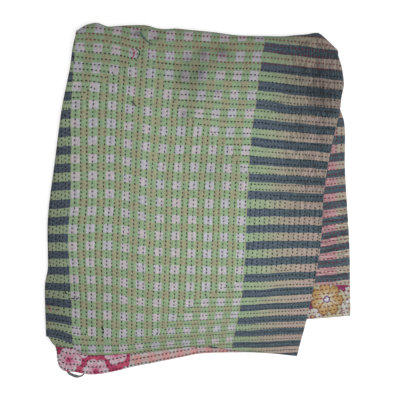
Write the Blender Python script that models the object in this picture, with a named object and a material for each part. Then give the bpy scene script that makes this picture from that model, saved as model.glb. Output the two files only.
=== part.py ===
"""A kantha quilt, folded in quarter and lying flat.

One soft stitched sheet is folded side to side (the long fold, at -X) and then end to end (the
top fold, at +Y), so that four layers lie on one another: floor, strip, lining and front.  The
front lies askew on the back pair, whose hem shows as a strip at +X, and the lining's hem shows
below the front's at the lower left corner.  A torn loop of the hem stands out there.

The sheet is drawn flat in its own coordinates, s across it and t along it, and mapped onto the
fold.  Sizes in the tables are millimetres, in the object's frame: +X right, +Y to the top fold,
+Z up, with the floor at z = 0.
"""

import math
from typing import NamedTuple

import bpy
from mathutils import Vector
from mathutils.geometry import delaunay_2d_cdt

MM = 0.001

# The sheet.
THICKNESS = 3.0         # both faces, the layers between them and the stitching
LAYER_PITCH = 4.8       # one layer's middle to the next one's
LEG_ACROSS = 600.0      # nominal width of one layer, from its hem to the long fold
LEG_ALONG = 720.0       # nominal length of one layer, from its hem to the top fold
LONG_FOLD_TURN = 10.0   # nominal cloth taken up in the long fold
TOP_FOLD_TURN = 30.0    # nominal cloth taken up in the top fold
LONG_FOLD_STEPS = 4
TOP_FOLD_STEPS = 6

# The fold's lift above the flat pile.
TOP_FOLD_LIFT = 9.0     # front layer, at the top fold
TOP_FOLD_REACH = 70.0   # how far the lift runs in from the top fold
LONG_FOLD_LIFT = 2.4    # front layer, at the long fold
LONG_FOLD_REACH = 30.0
HEM_DROP_START = 9.0    # past the back pair's hem, where the front pair starts to sink
HEM_DROP_RUN = 45.0     # run in which it then sinks to the floor
CREASE_FADE_LONG = 60.0     # run in which the creases rise from the long fold
CREASE_FADE_TOP = 50.0      # and from the top fold
CREASE_TAPER = 0.25     # share of a crease's length in which it rises at either end

# The quilting: rows of running stitches sink, and the cloth between them puffs up.
ROW_PITCH = 12.4
PUFF = 0.9              # rise between two rows
STITCH_DIP = 0.2        # sink at a row
ROW_POINT_RUN = 40.0    # longest run between two points on a row
LINING_POINT_RUN = 20.0     # the same on the lining, whose rows bend at the lower corner
ROW_END_GAP = 4.0       # where a row stops short of an edge or of the crossing rows
SHORTEST_ROW = 12.0     # a shorter stretch of a row is left out
SHOWN_STRIP = 125.0     # how much of the strip layer is quilted in relief, from its hem
SHOWN_LINING = 72.0     # the same on the lining, from its bottom hem

# The grid under the quilting.
HEM_STEP = 20.0         # points along a hem
COARSE_STEP = 50.0      # grid where a layer is hidden
DROP_STEP = 12.0        # grid where the front pair sinks past the hem below
DROP_STEP_ACROSS = 25.0
DROP_BAND = 120.0
CORNER_STEP = 12.0      # grid at the long fold's lower end, where the hems slant away
CORNER_BAND = 60.0

FRONT, LINING, STRIP, FLOOR = "front", "lining", "strip", "floor"
LAYER_LEVEL = {FLOOR: 0, STRIP: 1, LINING: 2, FRONT: 3}


class Knot(NamedTuple):
    """A point that an edge's smooth line runs through, in millimetres."""

    x: float
    y: float


class Crease(NamedTuple):
    """A soft ridge (+) or trough (-) on the front layer, from one point to another."""

    x0: float
    y0: float
    x1: float
    y1: float
    width: float
    height: float


class Zone(NamedTuple):
    """Where the crossing rows start and end at one place across the front (0 fold, 1 hem)."""

    across: float
    low: float
    high: float


TOP_FOLD = [
    Knot(-280, 393), Knot(-263, 404), Knot(-249, 408), Knot(-235, 409.5), Knot(-210, 401),
    Knot(-190, 402.5), Knot(-124, 404), Knot(-97, 397), Knot(-76, 395), Knot(-55, 396.5),
    Knot(-28, 394), Knot(34, 388), Knot(89, 381), Knot(165, 379), Knot(193, 378.5), Knot(221, 381),
    Knot(248, 383), Knot(275, 386.5), Knot(290, 375.5), Knot(321, 346),
]
FRONT_LONG_FOLD = [
    Knot(-348, -310), Knot(-350.5, -228), Knot(-350.5, -187), Knot(-344.5, -155), Knot(-344, -126),
    Knot(-344, -32), Knot(-328, 99), Knot(-312, 223), Knot(-293, 320), Knot(-287, 365),
    Knot(-280, 393),
]
BACK_LONG_FOLD = [
    Knot(-330, -308), Knot(-343, -228), Knot(-338, -126), Knot(-338, -44), Knot(-323, 99),
    Knot(-307, 223), Knot(-289, 320), Knot(-283, 365), Knot(-280, 393),
]
FRONT_SIDE_HEM = [
    Knot(228, -356), Knot(252.5, -255), Knot(269.5, -170), Knot(282, -90), Knot(290, 37),
    Knot(307, 136), Knot(326, 219), Knot(329.5, 250), Knot(335, 278), Knot(333, 300),
    Knot(329, 321), Knot(321, 346),
]
LINING_SIDE_HEM = [
    Knot(216.5, -349), Knot(240.5, -255), Knot(257, -170), Knot(269, -90), Knot(277, 37),
    Knot(294, 136), Knot(313, 219), Knot(317, 250), Knot(321, 278), Knot(321, 306), Knot(321, 346),
]
STRIP_SIDE_HEM = [
    Knot(351, -263), Knot(350, -186), Knot(348.8, -101), Knot(342.8, 3), Knot(338.3, 83),
    Knot(338.3, 126), Knot(338.7, 160), Knot(336.5, 193), Knot(331.5, 211), Knot(325, 230),
    Knot(321, 262), Knot(322, 310), Knot(321, 346),
]
FLOOR_SIDE_HEM = [
    Knot(345, -258), Knot(344, -186), Knot(343, -101), Knot(336.8, 3), Knot(332.3, 83),
    Knot(332.3, 126), Knot(332.7, 160), Knot(330.5, 193), Knot(326, 211), Knot(320, 230),
    Knot(316, 262), Knot(317, 310), Knot(321, 346),
]
FRONT_BOTTOM_HEM = [
    Knot(-348, -310), Knot(-332, -331), Knot(-289, -338), Knot(-275, -346), Knot(-252, -354),
    Knot(-155, -350), Knot(-75, -342), Knot(-3, -334), Knot(121, -347), Knot(170, -350),
    Knot(228, -356),
]
LINING_BOTTOM_HEM = [
    Knot(-348, -310), Knot(-336, -325), Knot(-330, -340), Knot(-328, -362), Knot(-323, -382),
    Knot(-311, -391), Knot(-288, -393), Knot(-262, -398), Knot(-249, -399), Knot(-224, -397),
    Knot(-180, -388), Knot(-155, -381.5), Knot(-110, -373), Knot(-75, -366), Knot(-35, -358),
    Knot(6, -350.5), Knot(110, -348), Knot(216.5, -349),
]
STRIP_BOTTOM_HEM = [
    Knot(-330, -308), Knot(6, -286), Knot(250, -271), Knot(351, -263),
]
FLOOR_BOTTOM_HEM = [
    Knot(-330, -303), Knot(6, -281), Knot(250, -266), Knot(345, -258),
]

CREASES = [
    Crease(-128, 330, -128, -250, 46, 2.2),
    Crease(-92, 300, -96, -230, 40, -0.8),
    Crease(-300, -150, -190, -290, 44, 1.9),
    Crease(-232, 350, -292, 170, 46, 2),
    Crease(205, 345, 262, 60, 38, 2),
    Crease(250, 330, 296, 90, 24, -0.8),
    Crease(-30, 340, 20, 60, 60, 1.4),
    Crease(60, -60, 180, -270, 60, 1.3),
]

CROSSING_ROWS = [
    Zone(0.00, 0.14, 0.66), Zone(0.10, 0.10, 0.80), Zone(0.20, 0.05, 0.87),
    Zone(0.29, 0.04, 0.985), Zone(0.36, 0.03, 0.88), Zone(0.47, 0.07, 0.79),
    Zone(0.60, 0.16, 0.67), Zone(0.75, 0.24, 0.51), Zone(0.88, 0.27, 0.49),
    Zone(1.00, 0.24, 0.49),
]

# The torn loop of the hem: its middle line, and its width at each point.
LOOP_KNOTS = [
    Knot(-299, -395.5), Knot(-290, -399.5), Knot(-280, -403.2), Knot(-271, -402.8),
    Knot(-262, -402.3),
]
LOOP_WIDTHS = [5, 6.5, 7, 4.5, 3]
LOOP_THICKNESS = 1.8
LOOP_SMOOTH = 4         # rings from one knot to the next
LOOP_LOOK = 0.02        # share of the length either way in which its direction is read

BOX_CENTRE = Knot(-0.72, 1.86)      # middle of everything from above, moved to the origin


def ease(value):
    """A smooth step from 0 to 1."""
    value = min(max(value, 0.0), 1.0)
    return value * value * (3.0 - 2.0 * value)


class Edge:
    """A smooth line through a table of knots, read by its share of the length."""

    def __init__(self, knots):
        self.knots = knots
        self.marks = [0.0]
        for one, two in zip(knots, knots[1:]):
            self.marks.append(self.marks[-1] + math.hypot(two.x - one.x, two.y - one.y))

    def slope(self, index):
        """The line's direction at a knot, from the knots on either side."""
        low = max(index - 1, 0)
        high = min(index + 1, len(self.knots) - 1)
        run = self.marks[high] - self.marks[low]
        return ((self.knots[high].x - self.knots[low].x) / run,
                (self.knots[high].y - self.knots[low].y) / run)

    def at(self, share):
        """The point at a share of the length, 0 to 1."""
        mark = min(max(share, 0.0), 1.0) * self.marks[-1]
        index = 0
        while index < len(self.knots) - 2 and self.marks[index + 1] < mark:
            index += 1
        run = self.marks[index + 1] - self.marks[index]
        u = (mark - self.marks[index]) / run
        one, two = self.knots[index], self.knots[index + 1]
        way_one, way_two = self.slope(index), self.slope(index + 1)
        h_one = 2 * u ** 3 - 3 * u ** 2 + 1
        h_two = 3 * u ** 2 - 2 * u ** 3
        m_one = (u ** 3 - 2 * u ** 2 + u) * run
        m_two = (u ** 3 - u ** 2) * run
        return (h_one * one.x + h_two * two.x + m_one * way_one[0] + m_two * way_two[0],
                h_one * one.y + h_two * two.y + m_one * way_one[1] + m_two * way_two[1])


class Layer:
    """One layer of the fold: its outline seen from above, and its height over the floor."""

    def __init__(self, name, long_fold, side_hem, bottom_hem):
        self.name = name
        self.level = LAYER_LEVEL[name]
        self.long_fold = Edge(long_fold)
        self.side_hem = Edge(side_hem)
        self.bottom_hem = Edge(bottom_hem)
        self.top_fold = Edge(TOP_FOLD)

    def plan(self, across, along):
        """The place from above: across 0 at the long fold to 1 at the hem, along 0 at the
        bottom hem to 1 at the top fold.  The four edges are blended as a Coons patch."""
        left = self.long_fold.at(along)
        right = self.side_hem.at(along)
        low = self.bottom_hem.at(across)
        high = self.top_fold.at(across)
        corner = (self.long_fold.at(0.0), self.side_hem.at(0.0),
                  self.long_fold.at(1.0), self.side_hem.at(1.0))
        place = []
        for axis in (0, 1):
            sides = (1 - across) * left[axis] + across * right[axis]
            ends = (1 - along) * low[axis] + along * high[axis]
            bilinear = ((1 - along) * ((1 - across) * corner[0][axis] + across * corner[1][axis])
                        + along * ((1 - across) * corner[2][axis] + across * corner[3][axis]))
            place.append(sides + ends - bilinear)
        return place[0] + LONG_FOLD_INSET * (1 - across), place[1] - TOP_FOLD_INSET * along

    def height(self, across, along):
        """The height of the layer's middle."""
        flat = THICKNESS / 2 + LAYER_PITCH * self.level
        near_top = ease(1 - (1 - along) * LEG_ALONG / TOP_FOLD_REACH)
        near_long = ease(1 - across * LEG_ACROSS / LONG_FOLD_REACH) * (1 - near_top)
        lift = (TOP_FOLD_LIFT * near_top * TOP_LIFT_SHARE[self.name]
                + LONG_FOLD_LIFT * near_long * LONG_LIFT_SHARE[self.name])
        drop = 0.0
        if self.level >= LAYER_LEVEL[LINING]:
            x, y = self.plan(across, along)
            drop = 2 * LAYER_PITCH * ease((hem_below(x) - HEM_DROP_START - y) / HEM_DROP_RUN)
        return flat + lift - drop + self.creased(across, along)

    def creased(self, across, along):
        """What the soft ridges and troughs add, fading out towards both folds."""
        if self.name != FRONT:
            return 0.0
        x, y = self.plan(across, along)
        fade = (ease(across * LEG_ACROSS / CREASE_FADE_LONG)
                * ease((1 - along) * LEG_ALONG / CREASE_FADE_TOP))
        return fade * sum(crease_rise(crease, x, y) for crease in CREASES)


LONG_FOLD_INSET = LAYER_PITCH / 2 + LONG_FOLD_LIFT / 2
TOP_FOLD_INSET = (3 * LAYER_PITCH + TOP_FOLD_LIFT) / 2
TOP_LIFT_SHARE = {FLOOR: 0.0, STRIP: 0.14, LINING: 0.86, FRONT: 1.0}
LONG_LIFT_SHARE = {FLOOR: 0.0, STRIP: 0.12, LINING: 0.1, FRONT: 1.0}

LAYERS = {
    FRONT: Layer(FRONT, FRONT_LONG_FOLD, FRONT_SIDE_HEM, FRONT_BOTTOM_HEM),
    LINING: Layer(LINING, FRONT_LONG_FOLD, LINING_SIDE_HEM, LINING_BOTTOM_HEM),
    STRIP: Layer(STRIP, BACK_LONG_FOLD, STRIP_SIDE_HEM, STRIP_BOTTOM_HEM),
    FLOOR: Layer(FLOOR, BACK_LONG_FOLD, FLOOR_SIDE_HEM, FLOOR_BOTTOM_HEM),
}


def hem_below(x):
    """The y of the back pair's bottom hem under a point of the front pair."""
    first, last = STRIP_BOTTOM_HEM[0], STRIP_BOTTOM_HEM[-1]
    share = min(max((x - first.x) / (last.x - first.x), 0.0), 1.0)
    return first.y + share * (last.y - first.y)


def crease_rise(crease, x, y):
    """How far one crease lifts the cloth at a place."""
    run_x, run_y = crease.x1 - crease.x0, crease.y1 - crease.y0
    length = math.hypot(run_x, run_y)
    u = ((x - crease.x0) * run_x + (y - crease.y0) * run_y) / length ** 2
    away = abs((x - crease.x0) * run_y - (y - crease.y0) * run_x) / length
    ends = ease(u / CREASE_TAPER) * ease((1 - u) / CREASE_TAPER)
    return crease.height * ends * ease(1 - away / crease.width)


ACROSS = 2 * LEG_ACROSS + LONG_FOLD_TURN
ALONG = 2 * LEG_ALONG + TOP_FOLD_TURN


def read_across(s):
    """Where s lies on the fold: across 0 to 1, depth 1 (outer pair) to -1, and the swing of
    the long fold's round, 0 on the flat layers to 1 at its outermost line."""
    if s <= LEG_ACROSS:
        return 1 - s / LEG_ACROSS, 1.0, 0.0
    if s >= LEG_ACROSS + LONG_FOLD_TURN:
        return (s - LEG_ACROSS - LONG_FOLD_TURN) / LEG_ACROSS, -1.0, 0.0
    angle = math.pi * (s - LEG_ACROSS) / LONG_FOLD_TURN
    return 0.0, math.cos(angle), math.sin(angle)


def read_along(t):
    """Where t lies on the fold: along 0 to 1, and the turn over the top fold, from a quarter
    turn up on the front pair to a quarter turn down on the back pair."""
    if t <= LEG_ALONG:
        return t / LEG_ALONG, math.pi / 2
    if t >= LEG_ALONG + TOP_FOLD_TURN:
        return 1 - (t - LEG_ALONG - TOP_FOLD_TURN) / LEG_ALONG, -math.pi / 2
    return 1.0, math.pi * (0.5 - (t - LEG_ALONG) / TOP_FOLD_TURN)


def pair_place(upper, across, along, depth, swing):
    """A place on the front pair or the back pair, the long fold's round included."""
    outer, inner = (LAYERS[FRONT], LAYERS[LINING]) if upper else (LAYERS[FLOOR], LAYERS[STRIP])
    if swing == 0.0:
        layer = outer if depth > 0 else inner
        return layer.plan(across, along) + (layer.height(across, along),)
    x, y = outer.plan(0.0, along)
    z_outer, z_inner = outer.height(0.0, along), inner.height(0.0, along)
    return (x - swing * abs(z_outer - z_inner) / 2, y,
            (z_outer + z_inner) / 2 + depth * (z_outer - z_inner) / 2)


def middle(s, t):
    """The point of the sheet's middle at (s, t)."""
    across, depth, swing = read_across(s)
    along, turn = read_along(t)
    if abs(turn) > math.pi / 2 - 1e-9:
        return Vector(pair_place(turn > 0, across, along, depth, swing))
    upper = pair_place(True, across, 1.0, depth, swing)
    lower = pair_place(False, across, 1.0, depth, swing)
    radius = (upper[2] - lower[2]) / 2
    share = (1 + math.sin(turn)) / 2
    return Vector((share * upper[0] + (1 - share) * lower[0],
                   upper[1] + radius * math.cos(turn),
                   (upper[2] + lower[2]) / 2 + radius * math.sin(turn)))


def outward(s, t):
    """The direction that the sheet's outer face looks in at (s, t)."""
    step = 0.5
    along = middle(s, min(t + step, ALONG)) - middle(s, max(t - step, 0.0))
    across = middle(min(s + step, ACROSS), t) - middle(max(s - step, 0.0), t)
    return along.cross(across).normalized()


def crossing_span(across):
    """The stretch of the front, along it, in which the rows run along instead of across."""
    for one, two in zip(CROSSING_ROWS, CROSSING_ROWS[1:]):
        if across <= two.across:
            u = (across - one.across) / (two.across - one.across)
            return one.low + u * (two.low - one.low), one.high + u * (two.high - one.high)
    return CROSSING_ROWS[-1].low, CROSSING_ROWS[-1].high


def in_crossing_zone(s, t):
    """Whether the front's rows run along it at (s, t)."""
    low, high = crossing_span(1 - s / LEG_ACROSS)
    return low < t / LEG_ALONG < high


def stepped(start, end, longest):
    """Evenly spaced values from start to end, both included."""
    count = max(1, math.ceil((end - start) / longest))
    return [start + (end - start) * index / count for index in range(count + 1)]


class Face:
    """One face of the flat sheet: its points, the lines kept between them, and their relief."""

    def __init__(self):
        self.points = []
        self.relief = []
        self.index = {}
        self.lines = []

    def point(self, s, t, rise=0.0):
        """The number of the point at (s, t), made when it is new."""
        key = (round(s, 3), round(t, 3))
        if key not in self.index:
            self.index[key] = len(self.points)
            self.points.append((s, t))
            self.relief.append(rise)
        return self.index[key]

    def line(self, places, rise=0.0):
        """Points joined one to the next."""
        numbers = [self.point(s, t, rise) for s, t in places]
        self.lines += [(a, b) for a, b in zip(numbers, numbers[1:]) if a != b]

    def grid(self, across_marks, along_marks, left_out):
        """The plain grid, left out where the quilting has points of its own."""
        for s in across_marks:
            for t in along_marks:
                on_hem = s in (0.0, ACROSS) or t in (0.0, ALONG)
                quilted = any(box[0] < s < box[1] and box[2] < t < box[3] for box in left_out)
                if not on_hem and not quilted:
                    self.point(s, t)

    def rows(self, box, point_run, wanted, turned=False):
        """Rows of quilting in a box, where `wanted` holds; turned rows run along the sheet.
        A stitched line and a puffed line alternate, half a row's pitch apart."""
        low_s, high_s, low_t, high_t = box
        start, end = (low_s, high_s) if turned else (low_t, high_t)
        run_start, run_end = (low_t, high_t) if turned else (low_s, high_s)
        marks = stepped(start + ROW_END_GAP, end - ROW_END_GAP, ROW_PITCH / 2)
        for number, mark in enumerate(marks):
            rise = PUFF if number % 2 else -STITCH_DIP
            for first, last in self.spans(mark, run_start, run_end, wanted, turned):
                run = stepped(first + ROW_END_GAP, last - ROW_END_GAP, point_run)
                self.line([(mark, r) if turned else (r, mark) for r in run], rise)

    @staticmethod
    def spans(mark, start, end, wanted, turned):
        """The stretches of one row where it is wanted and long enough to show."""
        found = []
        first = None
        for place in stepped(start, end, ROW_END_GAP):
            inside = wanted(mark, place) if turned else wanted(place, mark)
            if inside and first is None:
                first = place
            if first is not None and (not inside or place >= end - 1e-6):
                if place - first > SHORTEST_ROW:
                    found.append((first, place))
                first = None
        return found

    def triangles(self):
        """The face's triangles, as numbers of its points."""
        flat = [Vector(place) for place in self.points]
        found = delaunay_2d_cdt(flat, self.lines, [], 0, 1e-4)
        if len(found[0]) != len(flat):
            raise ValueError("two lines of the sheet cross")
        return [tuple(triangle) for triangle in found[2]]


def sheet_marks():
    """The values of s and t where the hems have points, and those of the hidden grid."""
    fold_s = stepped(LEG_ACROSS, LEG_ACROSS + LONG_FOLD_TURN, LONG_FOLD_TURN / LONG_FOLD_STEPS)
    fold_t = stepped(LEG_ALONG, LEG_ALONG + TOP_FOLD_TURN, TOP_FOLD_TURN / TOP_FOLD_STEPS)
    hem_s = stepped(0.0, LEG_ACROSS, HEM_STEP)[:-1] + fold_s
    hem_s += stepped(LEG_ACROSS + LONG_FOLD_TURN, ACROSS, HEM_STEP)[1:]
    hem_t = stepped(0.0, DROP_BAND, DROP_STEP)[:-1]
    hem_t += stepped(DROP_BAND, LEG_ALONG, HEM_STEP)[:-1] + fold_t
    hem_t += stepped(LEG_ALONG + TOP_FOLD_TURN, ALONG, HEM_STEP)[1:]
    coarse_s = stepped(0.0, LEG_ACROSS, COARSE_STEP)[:-1] + fold_s
    coarse_s += stepped(LEG_ACROSS + LONG_FOLD_TURN, ACROSS, COARSE_STEP)[1:]
    coarse_t = stepped(0.0, DROP_BAND, DROP_STEP)[:-1]
    coarse_t += stepped(DROP_BAND, LEG_ALONG, COARSE_STEP)[:-1] + fold_t
    coarse_t += stepped(LEG_ALONG + TOP_FOLD_TURN, ALONG, COARSE_STEP)[1:]
    return fold_s, fold_t, hem_s, hem_t, coarse_s, coarse_t


def make_face(quilted):
    """A face of the sheet, with the boxes that are quilted in relief, the run between points on
    their rows, and the rows."""
    fold_s, fold_t, hem_s, hem_t, coarse_s, coarse_t = sheet_marks()
    face = Face()
    rim = [(s, 0.0) for s in hem_s] + [(ACROSS, t) for t in hem_t[1:]]
    rim += [(s, ALONG) for s in reversed(hem_s[:-1])] + [(0.0, t) for t in reversed(hem_t[:-1])]
    face.line(rim)
    left_out = [box for box, _run, _rows in quilted]
    face.grid(coarse_s, coarse_t, left_out)
    fold_end = LEG_ACROSS + LONG_FOLD_TURN
    drop_s = stepped(0.0, LEG_ACROSS, DROP_STEP_ACROSS)
    drop_s += stepped(fold_end, ACROSS, DROP_STEP_ACROSS)
    drop_s += stepped(LEG_ACROSS - CORNER_BAND, LEG_ACROSS, CORNER_STEP)
    drop_s += stepped(fold_end, fold_end + CORNER_BAND, CORNER_STEP)
    face.grid(drop_s, [t for t in coarse_t if t <= DROP_BAND], left_out)
    for s in fold_s:
        face.line([(s, t) for t in coarse_t])
    for t in fold_t:
        face.line([(s, t) for s in coarse_s])
    for box, point_run, rows in quilted:
        for wanted, turned in rows:
            face.rows(box, point_run, wanted, turned)
    return face, rim


def make_quilt():
    """The folded sheet as one closed solid."""
    whole = [(lambda s, t: True, False)]
    front_box = (0.0, LEG_ACROSS, 0.0, LEG_ALONG)
    strip_box = (ACROSS - SHOWN_STRIP, ACROSS, LEG_ALONG + TOP_FOLD_TURN, ALONG)
    lining_box = (LEG_ACROSS + LONG_FOLD_TURN, ACROSS, 0.0, SHOWN_LINING)
    front_rows = [(lambda s, t: not in_crossing_zone(s, t), False), (in_crossing_zone, True)]
    outer, rim = make_face([(front_box, ROW_POINT_RUN, front_rows),
                            (strip_box, ROW_POINT_RUN, whole)])
    inner, _rim = make_face([(lining_box, LINING_POINT_RUN, whole)])

    verts = []
    faces = []
    for face, side in ((outer, 1.0), (inner, -1.0)):
        first = len(verts)
        for (s, t), rise in zip(face.points, face.relief):
            verts.append(middle(s, t) + outward(s, t) * side * (THICKNESS / 2 + rise))
        for a, b, c in face.triangles():
            b, c = (c, b) if side > 0 else (b, c)
            faces.append((first + a, first + b, first + c))
    offset = len(outer.points)
    for (s_one, t_one), (s_two, t_two) in zip(rim, rim[1:]):
        one, two = outer.point(s_one, t_one), outer.point(s_two, t_two)
        low_one, low_two = offset + inner.point(s_one, t_one), offset + inner.point(s_two, t_two)
        faces.append((one, two, low_two))
        faces.append((one, low_two, low_one))
    return solid("quilt", verts, faces, (0.44, 0.52, 0.38, 1.0))


def make_hem_loop():
    """The torn loop of the hem: a narrow flat strip, curved, lying on the floor."""
    middle_line = Edge(LOOP_KNOTS)
    count = LOOP_SMOOTH * (len(LOOP_KNOTS) - 1)
    rings = []
    for number in range(count + 1):
        share = number / count
        x, y = middle_line.at(share)
        x_one, y_one = middle_line.at(share - LOOP_LOOK)
        x_two, y_two = middle_line.at(share + LOOP_LOOK)
        run = math.hypot(x_two - x_one, y_two - y_one)
        aside = (-(y_two - y_one) / run, (x_two - x_one) / run)
        mark = share * (len(LOOP_WIDTHS) - 1)
        index = min(int(mark), len(LOOP_WIDTHS) - 2)
        width, next_width = LOOP_WIDTHS[index], LOOP_WIDTHS[index + 1]
        half = (width + (mark - index) * (next_width - width)) / 2
        rings.append([(x + side * half * aside[0], y + side * half * aside[1], z)
                      for side, z in ((-1, 0.0), (1, 0.0), (1, LOOP_THICKNESS), (-1, LOOP_THICKNESS))])
    verts = [corner for ring in rings for corner in ring]
    faces = [(3, 2, 1, 0)]
    for number in range(count):
        for corner in range(4):
            here, after = 4 * number + corner, 4 * number + (corner + 1) % 4
            faces.append((here, after, after + 4, here + 4))
    last = 4 * count
    faces.append((last, last + 1, last + 2, last + 3))
    return solid("hem_loop", verts, faces, (0.16, 0.22, 0.28, 1.0))


def solid(name, verts, faces, colour):
    """A named object of a closed mesh, given in millimetres, with its own cloth material."""
    mesh = bpy.data.meshes.new(name)
    places = [((x - BOX_CENTRE.x) * MM, (y - BOX_CENTRE.y) * MM, z * MM) for x, y, z in verts]
    mesh.from_pydata(places, [], faces)
    mesh.validate()
    mesh.update()
    mesh.shade_smooth()
    material = bpy.data.materials.new(name + "_cotton")
    material.use_nodes = True
    shader = material.node_tree.nodes["Principled BSDF"]
    shader.inputs["Base Color"].default_value = colour
    shader.inputs["Roughness"].default_value = 0.9
    shader.inputs["Metallic"].default_value = 0.0
    mesh.materials.append(material)
    thing = bpy.data.objects.new(name, mesh)
    bpy.context.scene.collection.objects.link(thing)
    return thing


def main():
    """Clear the scene and make the quilt and its torn loop."""
    for thing in list(bpy.data.objects):
        bpy.data.objects.remove(thing)
    make_quilt()
    make_hem_loop()


main()
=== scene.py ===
"""A kantha throw, folded in quarter and lying flat: its cloth, print and hand quilting.

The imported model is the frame.  The cloth is one closed sheet on the fold of its solid, with
finer relief; the prints are read from the cloth's own coordinates; the running stitches are
laid along their rows by Geometry Nodes.  Sizes in the tables are millimetres before the whole
is moved to the middle of its box: +X to the side hems, +Y to the top fold, +Z up.
"""

from __future__ import annotations

import logging
import math
from dataclasses import asdict, dataclass, field
from enum import Enum
from functools import partial
from typing import Any, NamedTuple, Sequence

import bpy
import numpy as np
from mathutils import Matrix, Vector
from mathutils.geometry import delaunay_2d_cdt

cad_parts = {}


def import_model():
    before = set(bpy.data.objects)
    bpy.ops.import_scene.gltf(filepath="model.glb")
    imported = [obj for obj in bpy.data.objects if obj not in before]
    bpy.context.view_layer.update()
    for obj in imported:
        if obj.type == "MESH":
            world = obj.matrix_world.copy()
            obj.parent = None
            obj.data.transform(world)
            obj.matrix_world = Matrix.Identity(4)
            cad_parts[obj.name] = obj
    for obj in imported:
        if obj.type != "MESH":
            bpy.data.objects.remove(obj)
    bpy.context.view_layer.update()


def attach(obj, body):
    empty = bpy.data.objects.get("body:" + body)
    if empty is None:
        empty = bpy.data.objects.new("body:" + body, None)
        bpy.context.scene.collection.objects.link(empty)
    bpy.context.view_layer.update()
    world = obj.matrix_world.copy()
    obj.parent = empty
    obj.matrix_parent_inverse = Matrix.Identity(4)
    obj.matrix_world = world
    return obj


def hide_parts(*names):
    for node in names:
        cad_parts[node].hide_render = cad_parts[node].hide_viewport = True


LOG = logging.getLogger("kantha")

MM = 0.001
BOX_CENTRE = (-0.72, 1.86)  # middle of the whole from above, moved to the origin
WHITE = (1.0, 1.0, 1.0, 1.0)

# The sheet, as in its solid.
THICKNESS = 3.0
LAYER_PITCH = 4.8
LEG_ACROSS = 600.0
LEG_ALONG = 720.0
LONG_FOLD_TURN = 10.0
TOP_FOLD_TURN = 30.0
TOP_FOLD_LIFT = 9.0
TOP_FOLD_REACH = 70.0
LONG_FOLD_LIFT = 2.4
LONG_FOLD_REACH = 30.0
HEM_DROP_START = 9.0
HEM_DROP_RUN = 45.0
CREASE_FADE_LONG = 60.0
CREASE_FADE_TOP = 50.0
CREASE_TAPER = 0.25
ACROSS = 2 * LEG_ACROSS + LONG_FOLD_TURN
ALONG = 2 * LEG_ALONG + TOP_FOLD_TURN
LINING_START = LEG_ACROSS + LONG_FOLD_TURN
BACK_START = LEG_ALONG + TOP_FOLD_TURN

# The quilting.
ROW_PITCH = 12.4
ROW_END_GAP = 4.0
SHOWN_STRIP = 125.0
SHOWN_LINING = 72.0
ROW_SPACING = 12.6  # what one row's or column's number stands for, in millimetres
ROW_STITCH = 8.5  # from one stitch to the next along a row across the sheet
COLUMN_STITCH = 9.0  # and along a row that runs the sheet's length
RUN_SHARE = 0.4  # of that, over which a stitch's direction is taken
STITCH_SHIFT = 0.618  # how far a row's stitches are shifted from its neighbour's
STRIP_TURN = 0.39  # share of the strip, from the top fold, sewn along its length
ROWS_TO_PRINT = 3.2  # rows of stitches to one row of the print, on the front
STRIP_ROWS_TO_PRINT = 3.38

Floats = np.ndarray


class Leg(Enum):
    """The four layers, by their place in the pile."""

    FLOOR = 0
    STRIP = 1
    LINING = 2
    FRONT = 3


class Cotton(Enum):
    """The cloth's printed cottons, by their material's place on the mesh."""

    CHECK = 0
    ROSE = 1
    SALMON = 2
    MARIGOLD = 3


class Crease(NamedTuple):
    """A soft ridge (+) or trough (-) from one point to another, in millimetres."""

    x0: float
    y0: float
    x1: float
    y1: float
    width: float
    height: float


class StainAndShade(NamedTuple):
    """A soft grey darkening of the cloth's colour, for real stains and for painted shade alike: its
    middle, its size and how dark it is.
    """

    x: float
    y: float
    wide: float
    tall: float
    dark: float


TOP_FOLD = (
    (-280, 393), (-263, 404), (-249, 408), (-235, 409.5), (-210, 401), (-190, 402.5), (-124, 404),
    (-97, 397), (-76, 395), (-55, 396.5), (-28, 394), (34, 388), (89, 381), (165, 379),
    (193, 378.5), (221, 381), (248, 383), (275, 386.5), (290, 375.5), (321, 346),
)
FRONT_LONG_FOLD = (
    (-348, -310), (-350.5, -228), (-350.5, -187), (-344.5, -155), (-344, -126), (-344, -32),
    (-328, 99), (-312, 223), (-293, 320), (-287, 365), (-280, 393),
)
BACK_LONG_FOLD = (
    (-330, -308), (-343, -228), (-338, -126), (-338, -44), (-323, 99), (-307, 223), (-289, 320),
    (-283, 365), (-280, 393),
)
FRONT_SIDE_HEM = (
    (228, -356), (252.5, -255), (269.5, -170), (282, -90), (290, 37), (307, 136), (326, 219),
    (329.5, 250), (335, 278), (333, 300), (329, 321), (321, 346),
)
LINING_SIDE_HEM = (
    (216.5, -349), (240.5, -255), (257, -170), (269, -90), (277, 37), (294, 136), (313, 219),
    (317, 250), (321, 278), (321, 306), (321, 346),
)
STRIP_SIDE_HEM = (
    (351, -263), (350, -186), (348.8, -101), (342.8, 3), (338.3, 83), (338.3, 126), (338.7, 160),
    (336.5, 193), (331.5, 211), (325, 230), (321, 262), (322, 310), (321, 346),
)
FLOOR_SIDE_HEM = (
    (345, -258), (344, -186), (343, -101), (336.8, 3), (332.3, 83), (332.3, 126), (332.7, 160),
    (330.5, 193), (326, 211), (320, 230), (316, 262), (317, 310), (321, 346),
)
FRONT_BOTTOM_HEM = (
    (-348, -310), (-332, -331), (-289, -338), (-275, -346), (-252, -354), (-155, -350),
    (-75, -342), (-3, -334), (121, -347), (170, -350), (228, -356),
)
LINING_BOTTOM_HEM = (
    (-348, -310), (-336, -325), (-330, -340), (-328, -362), (-323, -382), (-311, -391),
    (-288, -393), (-262, -398), (-249, -399), (-224, -397), (-180, -388), (-155, -381.5),
    (-110, -373), (-75, -366), (-35, -358), (6, -350.5), (110, -348), (216.5, -349),
)
STRIP_BOTTOM_HEM = (
    (-330, -308), (6, -286), (250, -271), (351, -263),
)
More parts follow.
